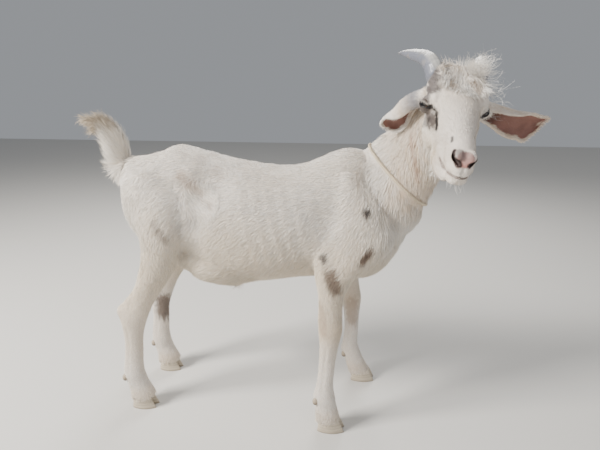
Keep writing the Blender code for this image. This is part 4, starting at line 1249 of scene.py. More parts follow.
def make_eye(side, word):
    """Eyeball with a raised cornea, its look painted by place: dark amber iris and a level pupil."""
    shape = bmesh.new()
    bmesh.ops.create_uvsphere(shape, u_segments=64, v_segments=40, radius=EYE_RADIUS)
    made = from_bmesh("eye_look_" + word, shape)
    points = points_of(made.data)
    from_axis = np.hypot(points[:, 0], points[:, 1])
    points[:, 2] += np.where(points[:, 2] > 0, 0.0007 * ramp(from_axis, 0.0085, 0.0045), 0)
    put_points(made.data, points)
    x, y, z = points.T
    iris = ramp(from_axis, 0.0088, 0.0079)
    rays = 0.5 + 0.5 * np.sin(np.arctan2(y, x) * 46 + 3 * np.sin(from_axis * 900))
    colours = np.tile(EYE_WHITE, (len(points), 1))
    amber = IRIS * (0.75 + 0.5 * rays)[:, None]
    colours = colours * (1 - iris[:, None]) + amber * iris[:, None]
    slot_shape = np.maximum(np.abs(x) / 0.0058, np.hypot(x / 0.0066, y / 0.0022))
    colours = mix(colours, PUPIL, ramp(slot_shape, 1.12, 0.92) * (z > 0))
    put_colours(made.data, colours)
    made.data.transform(eye_frame(side))
    settled(made)
    look = painted(material("eye", rough=0.12, Coat_Weight=1.0, Coat_Roughness=0.02, IOR=1.38))
    finish_piece(made, look, "eye", "eye_" + word)
    make_lids(side, word)


def make_lids(side, word):
    """The dark moist rims of both lids and a few pale lashes on the upper one."""
    place = eye_frame(side)
    outline = almond(72, EYE_OPENING[0] * 1.03, EYE_OPENING[1] * 1.06)
    reach = EYE_RADIUS + 0.0012
    deep = np.sqrt(np.maximum(reach**2 - (outline**2).sum(1), 1e-8))
    path = np.column_stack([outline, deep])
    rim = tube_loop("lids_" + word, path, 0.0010, 12)
    rim.data.transform(place)
    settled(rim)
    skin = bump(material("lid_rim", LID_RIM, 0.42), 900, 0.0003)
    finish_piece(rim, skin, "coat")
    upper = [p for p in path if p[1] > 0.001]
    chance = np.random.default_rng(SEED + side)
    points, faces = [], []
    for p in upper:
        for _ in range(2):
            root = np.array(p) + (0, 0.0006, 0.0006) + chance.normal(size=3) * 0.0002
            lean = np.array((p[0] * 30, 0.55 + 0.3 * chance.random(), 1.0))
            lean /= np.linalg.norm(lean)
            long = 0.0055 + 0.002 * chance.random()
            tip = root + lean * long + np.array((0, 0.0016, -0.0004))
            at = len(points)
            points += [root + (0.0001, 0, 0), root - (0.0001, 0, 0), (root + tip) / 2 - (0, 0.0005, 0), tip]
            faces += [(at, at + 1, at + 2), (at + 2, at + 1, at + 3)]
    lashes = mesh_object("lashes_" + word, points, faces)
    lashes.data.transform(place)
    settled(lashes)
    finish_piece(lashes, material("lash", WHITE, 0.5), "coat")


def tube_loop(name, path, radius, sides):
    """A closed ring of even thickness along a looped path."""
    path = np.asarray(path, float)
    along = unit(np.roll(path, -1, 0) - np.roll(path, 1, 0))
    out = unit(path - path.mean(0))
    side = unit(np.cross(along, out))
    out = np.cross(side, along)
    points, faces = [], []
    count = len(path)
    for k in range(count):
        for s in range(sides):
            turn = 2 * math.pi * s / sides
            points.append(path[k] + (out[k] * math.cos(turn) + side[k] * math.sin(turn)) * radius)
    for k in range(count):
        for s in range(sides):
            a, b = k * sides + s, k * sides + (s + 1) % sides
            c, d = ((k + 1) % count) * sides + (s + 1) % sides, ((k + 1) % count) * sides + s
            faces.append((a, b, c, d))
    made = mesh_object(name, points, faces)
    face_out(made)
    return made


def horn_path(side, per_span):
    table = numbered(HORN)
    rows = table_curve(table, stations(table, per_span))
    root = HORN[1][1]
    outs = root + (rows[:, 1] - root) * HORN_SPREAD[side]
    centres = np.array([HEAD_FRAME @ Vector((row[0], side * y, row[2])) for row, y in zip(rows, outs)])
    return centres, rows[:, 3]


def make_horn(side, word):
    """A horn with growth rings, a keel on its front and a blunt polished tip."""
    centres, radii = horn_path(side, 40)
    steps, sides = len(radii), 56
    at = np.linspace(0, 1, steps)
    rings = 0.35 * np.sin(at * 150) + 0.65 * np.sin(at * 67 + 1.2 * np.sin(at * 23))
    rough = 0.00028 * rings * ramp(at, 0.80, 0.45) * ramp(at, 0.04, 0.14)
    thick = radii + rough
    made = limb("horn_look_" + word, centres, [(0, 0, 1)] * steps, thick, thick * 0.92, sides)
    points, normals = points_of(made.data), normals_of(made.data)
    turn = np.tile(np.linspace(0, 2 * math.pi, sides, endpoint=False), steps)
    where = np.repeat(at, sides)
    keel = 0.0008 * np.exp(-((np.angle(np.exp(1j * (turn - 0.2))) / 0.22) ** 2)) * ramp(where, 0.95, 0.6)
    grain = 0.00018 * np.sin(turn * 17 + 4 * np.sin(where * 9)) * ramp(where, 0.9, 0.6)
    put_points(made.data, points + normals * (keel + grain - 0.0002)[:, None])
    colours = np.tile(HORN_GREY, (len(points), 1))
    # Painted highlight: a lighter band along the top of the horn, against the grey of its sides
    colours = mix(colours, HORN_TOP_HIGHLIGHT, 0.75 * ramp(np.cos(turn), 0.45, 0.95))
    colours = mix(colours, HORN_ROOT, 0.5 * ramp(where, 0.22, 0.05))
    colours = mix(colours, HORN_TIP, 0.5 * ramp(where, 0.78, 1.0))
    band = np.repeat(rings, sides)
    colours = mix(colours, HORN_RING, 0.22 * ramp(-band, -0.2, 0.8))
    colours = mix(colours, HORN_STAIN, 0.30 * ramp(waves(points, 0.02, 31), 0.1, 0.9))
    put_colours(made.data, colours)
    settled(made)
    look = painted(bump(material("horn", rough=0.45, Coat_Weight=0.15), 700, 0.0004, 0.4))
    finish_piece(made, look, "horn", "horn_" + word)


def claw_rings(heel, toe, out, side, inner, levels, sides):
    """Rings of one half of a hoof; inner is 1 for the half next to the mid plane and -1 for the other."""
    middle = out * side - side * inner * (CLAW_HALF_WIDTH + CLEFT / 2)
    turn = np.linspace(0, 2 * math.pi, sides, endpoint=False)
    rings = []
    for k in levels:
        rear = heel + 0.004 * k
        front = toe - 0.016 * k
        x = (rear + front) / 2 + (front - rear) / 2 * np.cos(turn)
        narrow = 1 - 0.42 * np.clip(np.cos(turn), 0, 1) ** 2
        half = CLAW_HALF_WIDTH * (0.94 + 0.06 * ramp(np.array(k), 0.0, 0.08)) * (1 - 0.05 * k)
        groove = 0.00022 * math.sin(k * 34 + 1.5 * math.sin(k * 11)) * (0.05 < k < 0.93)
        x = x + groove * np.cos(turn)
        y = middle + (half + groove) * np.sin(turn) * narrow
        y = y + side * inner * 0.0015 * np.clip(np.cos(turn), 0, 1)
        top = CORONET_LEVEL + CORONET_RISE * (x - coronet_middle(heel, toe)) - GAP
        rings.append(np.stack([x, y, top * k], 1))
    return rings


def make_feet():
    horn = painted(bump(material("hoof", rough=0.5), 500, 0.0005, 0.5))
    levels = np.concatenate([[0.0, 0.02, 0.05], np.linspace(0.08, 1.0, 40)])
    for word, heel, toe, out, side in feet():
        for inner, where in ((1, "inner"), (-1, "outer")):
            rings = claw_rings(heel, toe, out, side, inner, levels, 64)
            made = loft("hoof_look_" + word + "_" + where, rings)
            points = points_of(made.data)
            up = points[:, 2] / CORONET_LEVEL
            colours = np.tile(HOOF, (len(points), 1))
            growth = ramp(np.sin(up * 26 + 6 * points[:, 0]), -0.2, 0.9)
            colours = mix(colours, HOOF_GROWTH, 0.45 * growth)
            colours = mix(colours, HOOF_CORONET, 0.6 * ramp(up, 0.75, 1.0))
            colours = mix(colours, HOOF_SOLE, 0.60 * ramp(up, 0.22, 0.0))
            put_colours(made.data, colours)
            settled(made)
            finish_piece(made, horn, "hoof", "hoof_" + word + "_" + where)
            make_dewclaw(word, out, side, inner, where, horn)


def make_dewclaw(word, out, side, inner, where, horn):
    x, z = DEWCLAW_PLACE[word]
    y = side * out - side * inner * DEWCLAW_APART
    made = ball("dewclaw_look_" + word + "_" + where, (x, y, z), DEWCLAW_RADII, segments=32, rings=22)
    points = points_of(made.data)
    groove = 0.0002 * np.sin((points[:, 2] - z) * 2400)
    flat = unit(points - (x, y, z))
    points = points + flat * groove[:, None] - flat * 0.0002
    put_points(made.data, points)
    colours = np.tile(DEWCLAW, (len(points), 1))
    put_colours(made.data, mix(colours, DEWCLAW_TIP, ramp(points[:, 2] - z, 0.004, -0.008)))
    settled(made)
    finish_piece(made, horn, "hoof", "dewclaw_" + word + "_" + where)


def rope_path():
    """The middle line of the collar's loop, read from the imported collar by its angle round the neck."""
    flat = np.unique(np.round(points_of(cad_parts["collar"].data) - np.array(OFFSET), 6), axis=0)
    local = flat - np.array(ROPE_MIDDLE)
    normal = np.array(ROPE_NORMAL.normalized())
    up = unit(np.cross(normal, (0, 1, 0)))
    side = np.cross(normal, up)
    turn = np.arctan2(local @ side, local @ up)
    order = np.argsort(turn)
    path = np.array([group.mean(0) for group in np.array_split(flat[order], ROPE_BINS)])
    for _ in range(2):
        path = (np.roll(path, 1, 0) + 2 * path + np.roll(path, -1, 0)) / 4
    return path


def make_rope():
    """A rope of three strands laid round each other, along the collar's loop."""
    path = rope_path()
    closed = np.concatenate([path[-2:], path, path[:3]])
    at = np.linspace(2, 2 + len(path), ROPE_TURNS * STEPS_PER_TURN, endpoint=False)
    middle = table_curve(numbered(closed), at)
    along = unit(np.roll(middle, -1, 0) - np.roll(middle, 1, 0))
    out = unit(middle - middle.mean(0))
    side = unit(np.cross(along, out))
    out = np.cross(side, along)
    radius = COLLAR_THICKNESS / 2
    pieces = bmesh.new()
    for strand in range(STRANDS):
        turn = 2 * math.pi * (np.arange(len(at)) / STEPS_PER_TURN + strand / STRANDS)
        lay = middle + (out * np.cos(turn)[:, None] + side * np.sin(turn)[:, None]) * radius * 0.50
        tube = tube_loop("strand", lay, radius * 0.56, 12)
        pieces.from_mesh(tube.data)
        bpy.data.objects.remove(tube)
    rope = from_bmesh("rope_look", pieces)
    points = points_of(rope.data)
    tone = 1 + 0.10 * waves(points, 0.02, 41) + 0.05 * waves(points, 0.003, 42)
    put_colours(rope.data, np.tile(ROPE, (len(points), 1)) * tone[:, None])
    settled(rope)
    finish_piece(rope, painted(bump(material("rope", rough=0.85), 1400, 0.0006, 0.8)), "rope", "collar")


# Coat

# The coat's zones, and where the unwrap of each lies on the bake map: left, bottom, width, height
CHARTS = {
    "torso": (0.01, 0.01, 0.48, 0.48),
    "neck": (0.51, 0.01, 0.23, 0.48),
    "head": (0.76, 0.01, 0.23, 0.48),
    "ear_left": (0.01, 0.51, 0.15, 0.48),
    "ear_right": (0.18, 0.51, 0.15, 0.48),
    "tail": (0.35, 0.51, 0.13, 0.48),
    "fore_left": (0.50, 0.51, 0.11, 0.48),
    "fore_right": (0.63, 0.51, 0.11, 0.48),
    "hind_left": (0.76, 0.51, 0.11, 0.48),
    "hind_right": (0.88, 0.51, 0.11, 0.48),
}
ZONES = tuple(CHARTS)
LEG_ZONES = ZONES[-4:]
TAIL_ZONE = ZONES.index("tail")
UV_PATCH = 0.003

LONG_HAIR = 0.0172
PIECE_TRIANGLES = 190000


# Long loose hairs: middle in the head's frame, reach, number, length, way in the head's frame, and curl
WISPS = (
    ((0.080, 0.150, 0.270), 0.080, 70, 0.024, (0.25, 0.9, 0.35), 0.0070),
    ((0.230, 0.175, 0.190), 0.090, 90, 0.024, (0.30, 0.9, 0.15), 0.0080),
    ((0.330, 0.190, 0.100), 0.050, 30, 0.030, (0.05, 1.0, 0.00), 0.0080),
    ((0.080, 0.000, 0.300), 0.120, 60, 0.013, (0.40, 0.25, 0.9), 0.0040),
    ((0.130, 0.120, 0.290), 0.080, 1100, 0.025, (0.50, 0.35, 0.72), 0.0060),
    ((0.360, 0.000, 0.230), 0.110, 90, 0.012, (0.30, 0.10, 0.8), 0.0025),
    ((0.950, -0.010, -0.200), 0.060, 16, 0.013, (0.35, 0.0, -1.0), 0.0010),
    ((0.670, -0.100, -0.270), 0.050, 60, 0.014, (0.10, -0.1, -1.0), 0.0015),
    ((0.670, 0.100, -0.270), 0.050, 60, 0.014, (0.10, 0.1, -1.0), 0.0015),
    ((0.600, 0.020, -0.300), 0.160, 60, 0.014, (-0.35, 0.0, -1.0), 0.0015),
)


def side_of(points, middle, normal):
    return (points - np.array(middle)) @ unit(np.array(normal, float))


def zone_shares(points, q, ears):
    """How much each point belongs to each zone, with soft borders."""
    x, y, z = points.T
    soft = 0.012
    shares = {name: np.zeros(len(points)) for name in ZONES}
    nape, throat = np.array((-0.078, 0, 0.120)), np.array((0.155, 0, -0.330))
    across = throat - nape
    beyond = side_of(q, (nape + throat) / 2, (-across[2], 0, across[0])) * HEAD_LENGTH
    head_part = ramp(beyond, -soft, soft)
    outer, inner, _ = ears
    ear_part = {}
    for word, side in (("left", 1), ("right", -1)):
        far = np.linalg.norm(q - EARS[word][0][0], axis=1)
        ear_part[word] = (outer[word] + inner[word]) * ramp(far, 0.04, 0.14)
    neck_part = ramp(side_of(points, (0.314, 0, 0.556), (0.905, -0.06, 0.425)), -0.03, 0.03)
    tail_part = ramp(side_of(points, (-0.291, 0, 0.607), (-0.55, 0, 0.83)), -soft, soft) * (x < -0.24)
    left = np.ones(len(points))
    for word in EARS:
        shares["ear_" + word] = ear_part[word] * left
        left = left * (1 - ear_part[word])
    shares["head"] = head_part * left * (x > 0.2)
    left = left - shares["head"]
    shares["neck"] = neck_part * left * (z > 0.42)
    left = left - shares["neck"]
    shares["tail"] = tail_part * left
    left = left - shares["tail"]
    for word, side in (("left", 1), ("right", -1)):
        fore = ramp(z, 0.43, 0.35) * (x > 0.05) * (side * y > 0)
        hind = ramp(z, 0.44, 0.35) * (x < -0.10) * (side * y > 0)
        shares["fore_" + word] = fore * left
        shares["hind_" + word] = hind * left
    for word in ("left", "right"):
        left = left - shares["fore_" + word] - shares["hind_" + word]
    shares["torso"] = np.clip(left, 0, 1)
    return shares


def groom(points, q, shares, ears):
    """The lie of the coat: directions to be laid flat on the skin later."""
    x, _, z = points.T
    count = len(points)
    along = ears[2]

    def way(*v):
        return np.tile(np.array(v, float), (count, 1))

    def blend(a, b, share):
        return a * (1 - share[:, None]) + b * share[:, None]

    torso_way = blend(way(-0.72, 0, -0.68), way(-1, 0, -0.18), ramp(z, 0.46, 0.60))
    torso_way = blend(torso_way, way(-0.92, 0, -0.25), ramp(z, 0.42, 0.37))
    torso_way = blend(torso_way, way(-0.35, 0, -0.94), ramp(x, 0.22, 0.30))
    torso_way = blend(torso_way, way(-0.50, 0, -0.87), ramp(x, -0.10, -0.22))
    torso_way = blend(torso_way, way(0.10, 0, -1.0), ramp(z, 0.50, 0.42) * ramp(x, -0.10, -0.16))
    whorl = np.linalg.norm((points - (-0.072, 0, 0.548)) * (1, 0, 1), axis=1)
    torso_way = blend(torso_way, way(0.78, 0, -0.66), ramp(whorl, 0.062, 0.020))
    nape = ramp(side_of(points, (0.36, -0.05, 0.62), (-0.85, 0.2, 0.45)), -0.01, 0.05)
    neck_way = blend(way(0.02, 0.06, -1.0), way(-0.55, 0.40, -0.85), nape)
    forward = head_way(((1, 0, 0), (0, 1, 0), (0, 0, 1)))
    down_face = way(*forward[0]) + way(*forward[2]) * -0.10
    cheek = way(*forward[0]) * 0.25 - way(*forward[2]) * 0.8 - way(*forward[0]) * 0.5
    crown = way(*forward[0]) * -0.9 + way(*forward[1]) * np.sign(q[:, 1:2]) * 0.35
    head_flow = blend(crown, down_face, ramp(q[:, 0], 0.34, 0.45))
    head_flow = blend(head_flow, cheek, ramp(q[:, 2], 0.02, -0.12) * ramp(q[:, 0], 0.62, 0.42))
    tail_way = way(-0.55, 0, 0.75) + (points - way(-0.300, 0, 0.66)) * (6, 9, 0)
    droop = way(-0.75, 0, -0.70) + points * (0, 9, 0)
    tail_way = blend(tail_way, droop, ramp(x, -0.308, -0.336))
    flow = np.zeros((count, 3))
    flow += torso_way * shares["torso"][:, None] + neck_way * shares["neck"][:, None]
    flow += head_flow * shares["head"][:, None] + tail_way * shares["tail"][:, None]
    for word in EARS:
        axis = from_head(EARS[word][0])
        lie = unit(table_curve(numbered(np.gradient(axis, axis=0)), along[word] * (len(axis) - 1)))
        flow += lie * shares["ear_" + word][:, None]
    for name in LEG_ZONES:
        flow += way(-0.10, 0, -1) * shares[name][:, None]
    swirl = 0.16
    flow += swirl * np.stack([waves(points, 0.09, 51 + k) for k in range(3)], 1)
    return flow


def coat_sizes(points, q, shares, ears, rope):
    """For each point: length of the hair, its rise, its width and the space between tufts, in metres."""
    x, _, z = points.T
    inner = ears[1]
    sizes = np.zeros((len(points), 4))

    def add(share, length, rise, width, space):
        columns = [np.broadcast_to(v, (len(points),)) for v in (length, rise, width, space)]
        sizes[:] += np.stack(columns, 1) * share[:, None]

    chest = ramp(x, 0.26, 0.33)
    thigh = ramp(x, -0.20, -0.26) * ramp(z, 0.58, 0.50)
    belly = ramp(z, 0.40, 0.36)
    seat = ramp(x, -0.250, -0.280) * ramp(z, 0.56, 0.60)
    length = 0.0145 + 0.006 * chest + 0.009 * thigh + 0.004 * belly + 0.014 * seat
    add(shares["torso"], length, 0.17 + 0.08 * thigh + 0.06 * belly + 0.12 * seat, 0.00088, 0.00192)
    add(shares["neck"], 0.0200 + 0.006 * ramp(z, 0.66, 0.56), 0.20, 0.00088, 0.00190)
    crown = poll_share(q)
    jaw = ramp(q[:, 2], -0.16, -0.26) * ramp(q[:, 0], 0.60, 0.40)
    muzzle = ramp(q[:, 0], 0.70, 0.90)
    length = 0.0056 + 0.0050 * ramp(q[:, 0], 0.40, 0.20) + 0.008 * jaw - 0.0022 * muzzle
    add(shares["head"], length, 0.20 + 0.05 * jaw, 0.00062 + 0.0002 * ramp(q[:, 0], 0.4, 0.2), 0.00142)
    for word in EARS:
        inside = inner[word]
        add(shares["ear_" + word], 0.0065 - 0.002 * inside, 0.22, 0.00060, 0.00150 + 0.0010 * inside)
    tip = ramp(x, -0.320, -0.345)
    add(shares["tail"], 0.036 - 0.015 * tip, 0.42 - 0.04 * tip, 0.00100, 0.00132)
    for name in LEG_ZONES:
        length = 0.0070 + 0.0070 * ramp(z, 0.26, 0.42) + 0.0040 * ramp(z, 0.055, 0.035)
        width = 0.00066 + 0.00022 * ramp(z, 0.26, 0.42)
        add(shares[name], length, 0.20, width, 0.00158 + 0.00032 * ramp(z, 0.28, 0.42))
    near_rope = ramp(away_from(points, np.concatenate([rope, rope[:1]])), 0.022, 0.008)
    sizes[:, 0] *= 1 - 0.55 * near_rope
    sizes[:, 1] *= 1 - 0.75 * near_rope
    sizes[:, 0] *= 1 + 0.12 * waves(points, 0.03, 61)
    return sizes, crown


def poll_share(q):
    """Where the long fluffy hair of the poll grows."""
    far = np.linalg.norm((q - (0.17, 0.035, 0.25)) / (0.26, 0.175, 0.16), axis=1)
    beside = ramp(q[:, 1], -0.148, -0.105)
    return ramp(far, 1.15, 0.75) * np.maximum(beside, ramp(q[:, 0], 0.16, 0.08))


def bare_share(points, q):
    """Where no hair grows."""
    bare = np.maximum(nose_share(q), lip_share(q) * 0.9)
    bare = np.maximum(bare, lid_share(points))
    for side in (1, -1):
        centres, _ = horn_path(side, 4)
        far = away_from(points, centres[:10])
        bare = np.maximum(bare, ramp(far, 0.0155, 0.0135))
    return bare


def triangles_of(mesh):
    mesh.calc_loop_triangles()
    flat = np.empty(len(mesh.loop_triangles) * 3, np.int32)
    mesh.loop_triangles.foreach_get("vertices", flat)
    return flat.reshape(-1, 3)


def spread_roots(points, triangles, density, chance):
    """Roots spread over the skin: triangle and place in it of each tuft."""
    a, b, c = (points[triangles[:, k]] for k in range(3))
    area = np.linalg.norm(np.cross(b - a, c - a), axis=1) / 2
    wanted = np.concatenate([[0], np.cumsum(area * density[triangles].mean(1))])
    marks = np.arange(int(wanted[-1])) + chance.random(int(wanted[-1]))
    which = np.clip(np.searchsorted(wanted, marks, side="right") - 1, 0, len(triangles) - 1)
    u, v = chance.random((2, len(which)))
    flip = u + v > 1
    u, v = np.where(flip, 1 - u, u), np.where(flip, 1 - v, v)
    return which, np.stack([1 - u - v, u, v], 1)


def chart_place(name, points, q, along):
    """The root's place on the unwrap of its zone, from 0 to 1 both ways."""
    x, y, z = points.T
    if name == "torso":
        return (x + 0.31) / 0.70, np.arctan2(y, z - 0.49) / (2 * math.pi) + 0.5
    if name == "neck":
        return (z - 0.42) / 0.42, np.arctan2(y + 0.06, x - 0.36) / (2 * math.pi) + 0.5
    if name == "head":
        return (q[:, 0] + 0.15) / 1.20, np.arctan2(q[:, 1], q[:, 2] + 0.03) / (2 * math.pi) + 0.5
    if name.startswith("ear"):
        return along, q[:, 0] * 0.5 - q[:, 2] * 0.5 + 0.4
    if name == "tail":
        return (z - 0.57) / 0.17, np.arctan2(y, x + 0.31) / (2 * math.pi) + 0.5
    middle_x = 0.225 if name.startswith("fore") else -0.24
    middle_y = 0.10 if name.endswith("left") else -0.10
    return z / 0.45, np.arctan2(y - middle_y, x - middle_x) / (2 * math.pi) + 0.5


def tuft_mesh(name, spine, half, colours, uv):
    """Flat tapered blades as one mesh. spine and half: tufts x rows x 3, the last row a point."""
    count, rows = spine.shape[:2]
    pairs = rows - 1
    points = np.empty((count, 2 * pairs + 1, 3), np.float32)
    points[:, 0 : 2 * pairs : 2] = spine[:, :pairs] - half[:, :pairs]
    points[:, 1 : 2 * pairs : 2] = spine[:, :pairs] + half[:, :pairs]
    points[:, -1] = spine[:, -1]
    face = []
    for j in range(pairs - 1):
        a = 2 * j
        face += [(a, a + 1, a + 3), (a, a + 3, a + 2)]
    face.append((2 * pairs - 2, 2 * pairs - 1, 2 * pairs))
    face = np.array(face, np.int32)
    corners = (np.arange(count, dtype=np.int32)[:, None, None] * (2 * pairs + 1) + face).ravel()
    mesh = bpy.data.meshes.new(name)
    mesh.vertices.add(count * (2 * pairs + 1))
    mesh.vertices.foreach_set("co", points.ravel())
    mesh.loops.add(len(corners))
    mesh.loops.foreach_set("vertex_index", corners)
    mesh.polygons.add(len(corners) // 3)
    mesh.polygons.foreach_set("loop_start", np.arange(0, len(corners), 3, dtype=np.int32))
    mesh.update(calc_edges=True)
    per_point = np.empty((count, 2 * pairs + 1, 3), np.float32)
    per_point[:, 0 : 2 * pairs : 2] = colours[:, :pairs]
    per_point[:, 1 : 2 * pairs : 2] = colours[:, :pairs]
    per_point[:, -1] = colours[:, -1]
    put_colours(mesh, per_point.reshape(-1, 3))
    patch = np.empty((2 * pairs + 1, 2))
    patch[0 : 2 * pairs : 2, 0], patch[1 : 2 * pairs : 2, 0], patch[-1, 0] = -0.5, 0.5, 0
    patch[0 : 2 * pairs : 2, 1] = patch[1 : 2 * pairs : 2, 1] = np.arange(pairs) / pairs - 0.5
    patch[-1, 1] = 0.5
    spots = np.clip(uv[:, None, :] + patch[None] * UV_PATCH, 0, 1).reshape(-1, 2).astype(np.float32)
    layer = mesh.uv_layers.new(name="OFBake")
    layer.data.foreach_set("uv", spots[corners].ravel())
    return link(name, mesh)


def grow(name, look, roots, rows, tree, chance):
    """Makes the tufts of one group and shares them between pieces of bearable size."""
    base, normal, flow = roots["point"], roots["normal"], roots["flow"]
    count = len(base)
    length, rise, width = roots["size"][:, 0], roots["size"][:, 1], roots["size"][:, 2]
    length = length * chance.uniform(0.72, 1.18, count)
    rise = rise * chance.uniform(0.6, 1.5, count)
    veer = chance.normal(0, 0.15, count)[:, None]
    side = unit(np.cross(normal, flow))
    flow = unit(flow + side * veer)
    side = unit(np.cross(normal, flow))
    clump = clump_pull(base, roots["clump"])
    aim = base + flow * length[:, None] + (clump - normal * (clump * normal).sum(1)[:, None])
    tip, drop = np.empty_like(aim), np.zeros(count)
    for k in range(count):
        found, out, _, far = tree.find_nearest(aim[k])
        if far < 0.4 * length[k] and out.dot(normal[k]) > 0.3:
            tip[k] = found
            drop[k] = far
        else:
            tip[k] = aim[k]
    tip += normal * (length * rise)[:, None]
    root = base - normal * 0.0010
    middle = (root + tip) / 2 + normal * (drop / 4 + 0.10 * length * rise + 0.0003)[:, None]
    pull = 2 * middle - (root + tip) / 2
    roll = chance.normal(0, 0.50, count)[:, None]
    across = side * np.cos(roll) + normal * np.sin(roll)
    s = np.linspace(0, 1, rows)[None, :, None]
    spine = (1 - s) ** 2 * root[:, None] + 2 * s * (1 - s) * pull[:, None] + s**2 * tip[:, None]
    curl = roots["curl"][:, None, None]
    phase = chance.uniform(0, 2 * math.pi, (count, 1, 1))
    wave = curl * s * np.sin(phase + s * chance.uniform(4.5, 8.0, (count, 1, 1)))
    wave_up = curl * s * np.cos(phase * 1.3 + s * 6)
    spine = spine + wave * side[:, None] + 0.6 * wave_up * normal[:, None]
    taper = (1.0 - 0.35 * s - 0.3 * s**2) * np.where(s < 0.02, 0.85, 1.0)
    half = across[:, None] * (width / 2)[:, None, None] * taper
    streak = waves(base * (1 - 0.85 * np.abs(flow)), 0.009, 81)
    # Each tuft is darker at its root than at its tip: painted shade between the tufts, on top of a small random
    # tone
    tone = chance.normal(1.0, 0.035, (count, 1, 1)) * (0.85 + 0.16 * s)
    tone = tone * (1 + 0.045 * streak)[:, None, None]
    warm = 1 + chance.normal(0, 0.02, (count, 1, 1)) * np.array((1, 0.2, -1.2))
    colours = np.clip(roots["colour"][:, None] * tone * warm, 0, 1)
    faces = 2 * (rows - 2) + 1
    order = np.argsort(base[:, 0] + base[:, 1] * 0.2)
    parts = math.ceil(count * faces / PIECE_TRIANGLES)
    for i, chosen in enumerate(np.array_split(order, parts)):
        made = tuft_mesh(f"{name}_{i + 1}", spine[chosen], half[chosen], colours[chosen], roots["uv"][chosen])
        settled(made)
        finish_piece(made, look, "coat")


def clump_pull(points, strength):
    """A small pull of each tip towards its neighbours, so that the hair lies in locks."""
    total = np.zeros_like(points)
    for scale, seed in ((0.011, 71), (0.017, 72), (0.026, 73)):
        chance = np.random.default_rng(seed)
        for _ in range(4):
            way = chance.normal(size=3)
            way *= 2 * math.pi / scale / np.linalg.norm(way)
            total += np.cos(points @ way + chance.uniform(0, 6.28))[:, None] * unit(way)
    return total * strength[:, None] / 3.2


def dress(skin):
    """Colours the skin and grows the coat on it."""
    chance = np.random.default_rng(SEED)
    points, normals = points_of(skin.data), normals_of(skin.data)
    q = to_head(points)
    ears = ear_map(points)
    colours = tint(points, q, ears)
    put_colours(skin.data, bare_colours(colours * (0.84, 0.80, 0.78), points, q))
    shares = zone_shares(points, q, ears)
    flow = groom(points, q, shares, ears)
    flow = unit(flow - normals * (flow * normals).sum(1)[:, None])
    sizes, crown = coat_sizes(points, q, shares, ears, rope_path())
    density = 1 / sizes[:, 3] ** 2 * (1 - bare_share(points, q))
    triangles = triangles_of(skin.data)
    tree = bvhtree.BVHTree.FromPolygons(points.tolist(), triangles.tolist())
    which, place = spread_roots(points, triangles, density, chance)
    corners = triangles[which]

    def at_roots(values):
        return (values[corners] * place.reshape(place.shape + (1,) * (values.ndim - 1))).sum(1)

    weights = np.stack([shares[name] for name in ZONES], 1)
    zone = at_roots(weights).argmax(1)
    q_roots = at_roots(q)
    spots = np.zeros((len(zone), 2))
    along = at_roots(np.maximum(ears[2]["left"], ears[2]["right"]))
    base = at_roots(points)
    for i, name in enumerate(ZONES):
        mine = zone == i
        u, v = chart_place(name, base[mine], q_roots[mine], along[mine])
        left, low, wide, high = CHARTS[name]
        spots[mine, 0] = left + np.clip(u, 0, 1) * wide
        spots[mine, 1] = low + np.clip(v, 0, 1) * high
    size = at_roots(sizes)
    long_coat = size[:, 0]
    everything = {
        "point": base,
        "normal": unit(at_roots(normals)),
        "flow": unit(at_roots(flow)),
        "size": size,
        "colour": at_roots(colours),
        "uv": spots,
        "curl": np.where(zone == TAIL_ZONE, 0.0020, 0.0004) * (long_coat > 0.012),
        "clump": np.clip(long_coat - 0.006, 0, 0.02) * 0.055,
    }
    look = coat_material()
    on_poll = at_roots(crown) > chance.random(len(zone)) * 0.8 + 0.1
    groups = (
        ("coat_poll", on_poll, 6),
        ("coat_tail", ~on_poll & (zone == TAIL_ZONE), 5),
        ("coat_body", ~on_poll & (zone != TAIL_ZONE) & (long_coat > LONG_HAIR), 4),
        ("coat_short", ~on_poll & (zone != TAIL_ZONE) & (long_coat <= LONG_HAIR), 3),
    )
    for name, mine, rows in groups:
        roots = {key: values[mine] for key, values in everything.items()}
        if name == "coat_poll":
            fluff(roots, q_roots[mine], chance)
        grow(name, look, roots, rows, tree, chance)
    grow("coat_wisps", look, wisps(everything, q_roots, chance), 9, tree, chance)


def fluff(roots, q, chance):
    """Makes the hair of the poll long, soft and loose, falling forward and to both sides."""
    front = ramp(q[:, 0], 0.00, 0.12)
    frizz = ramp(q[:, 0], 0.26, 0.36)
    edge = ramp(poll_share(q), 0.55, 0.15)
    roots["size"][:, 0] = 0.023 - 0.005 * frizz - 0.010 * edge
    roots["size"][:, 1] = 0.24 - 0.12 * front + 0.08 * frizz
    roots["size"][:, 2] = 0.00065
    roots["curl"][:] = 0.0005 + 0.0008 * frizz
    roots["clump"][:] = 0.0016
    pale = (0.5 - 0.5 * edge) * ramp(roots["colour"][:, 0], 0.50, 0.70)
    roots["colour"] = mix(roots["colour"], POLL_WHITE, pale)
    part = q[:, 1] - 0.030
    ahead = head_way(((1, 0, 0), (0, 1, 0)))
    forward = (1.7 * front - 0.55)[:, None] * ahead[0]
    outward = (np.clip(part / 0.10, -0.45, 1) * (0.75 - 0.15 * front))[:, None] * ahead[1]
    loose = (0.09 + 0.14 * frizz + 0.08 * (1 - front))[:, None]
    flow = forward + outward + loose * chance.normal(0, 1, (len(q), 3))
    flow -= roots["normal"] * (flow * roots["normal"]).sum(1)[:, None]
    roots["flow"] = unit(flow)


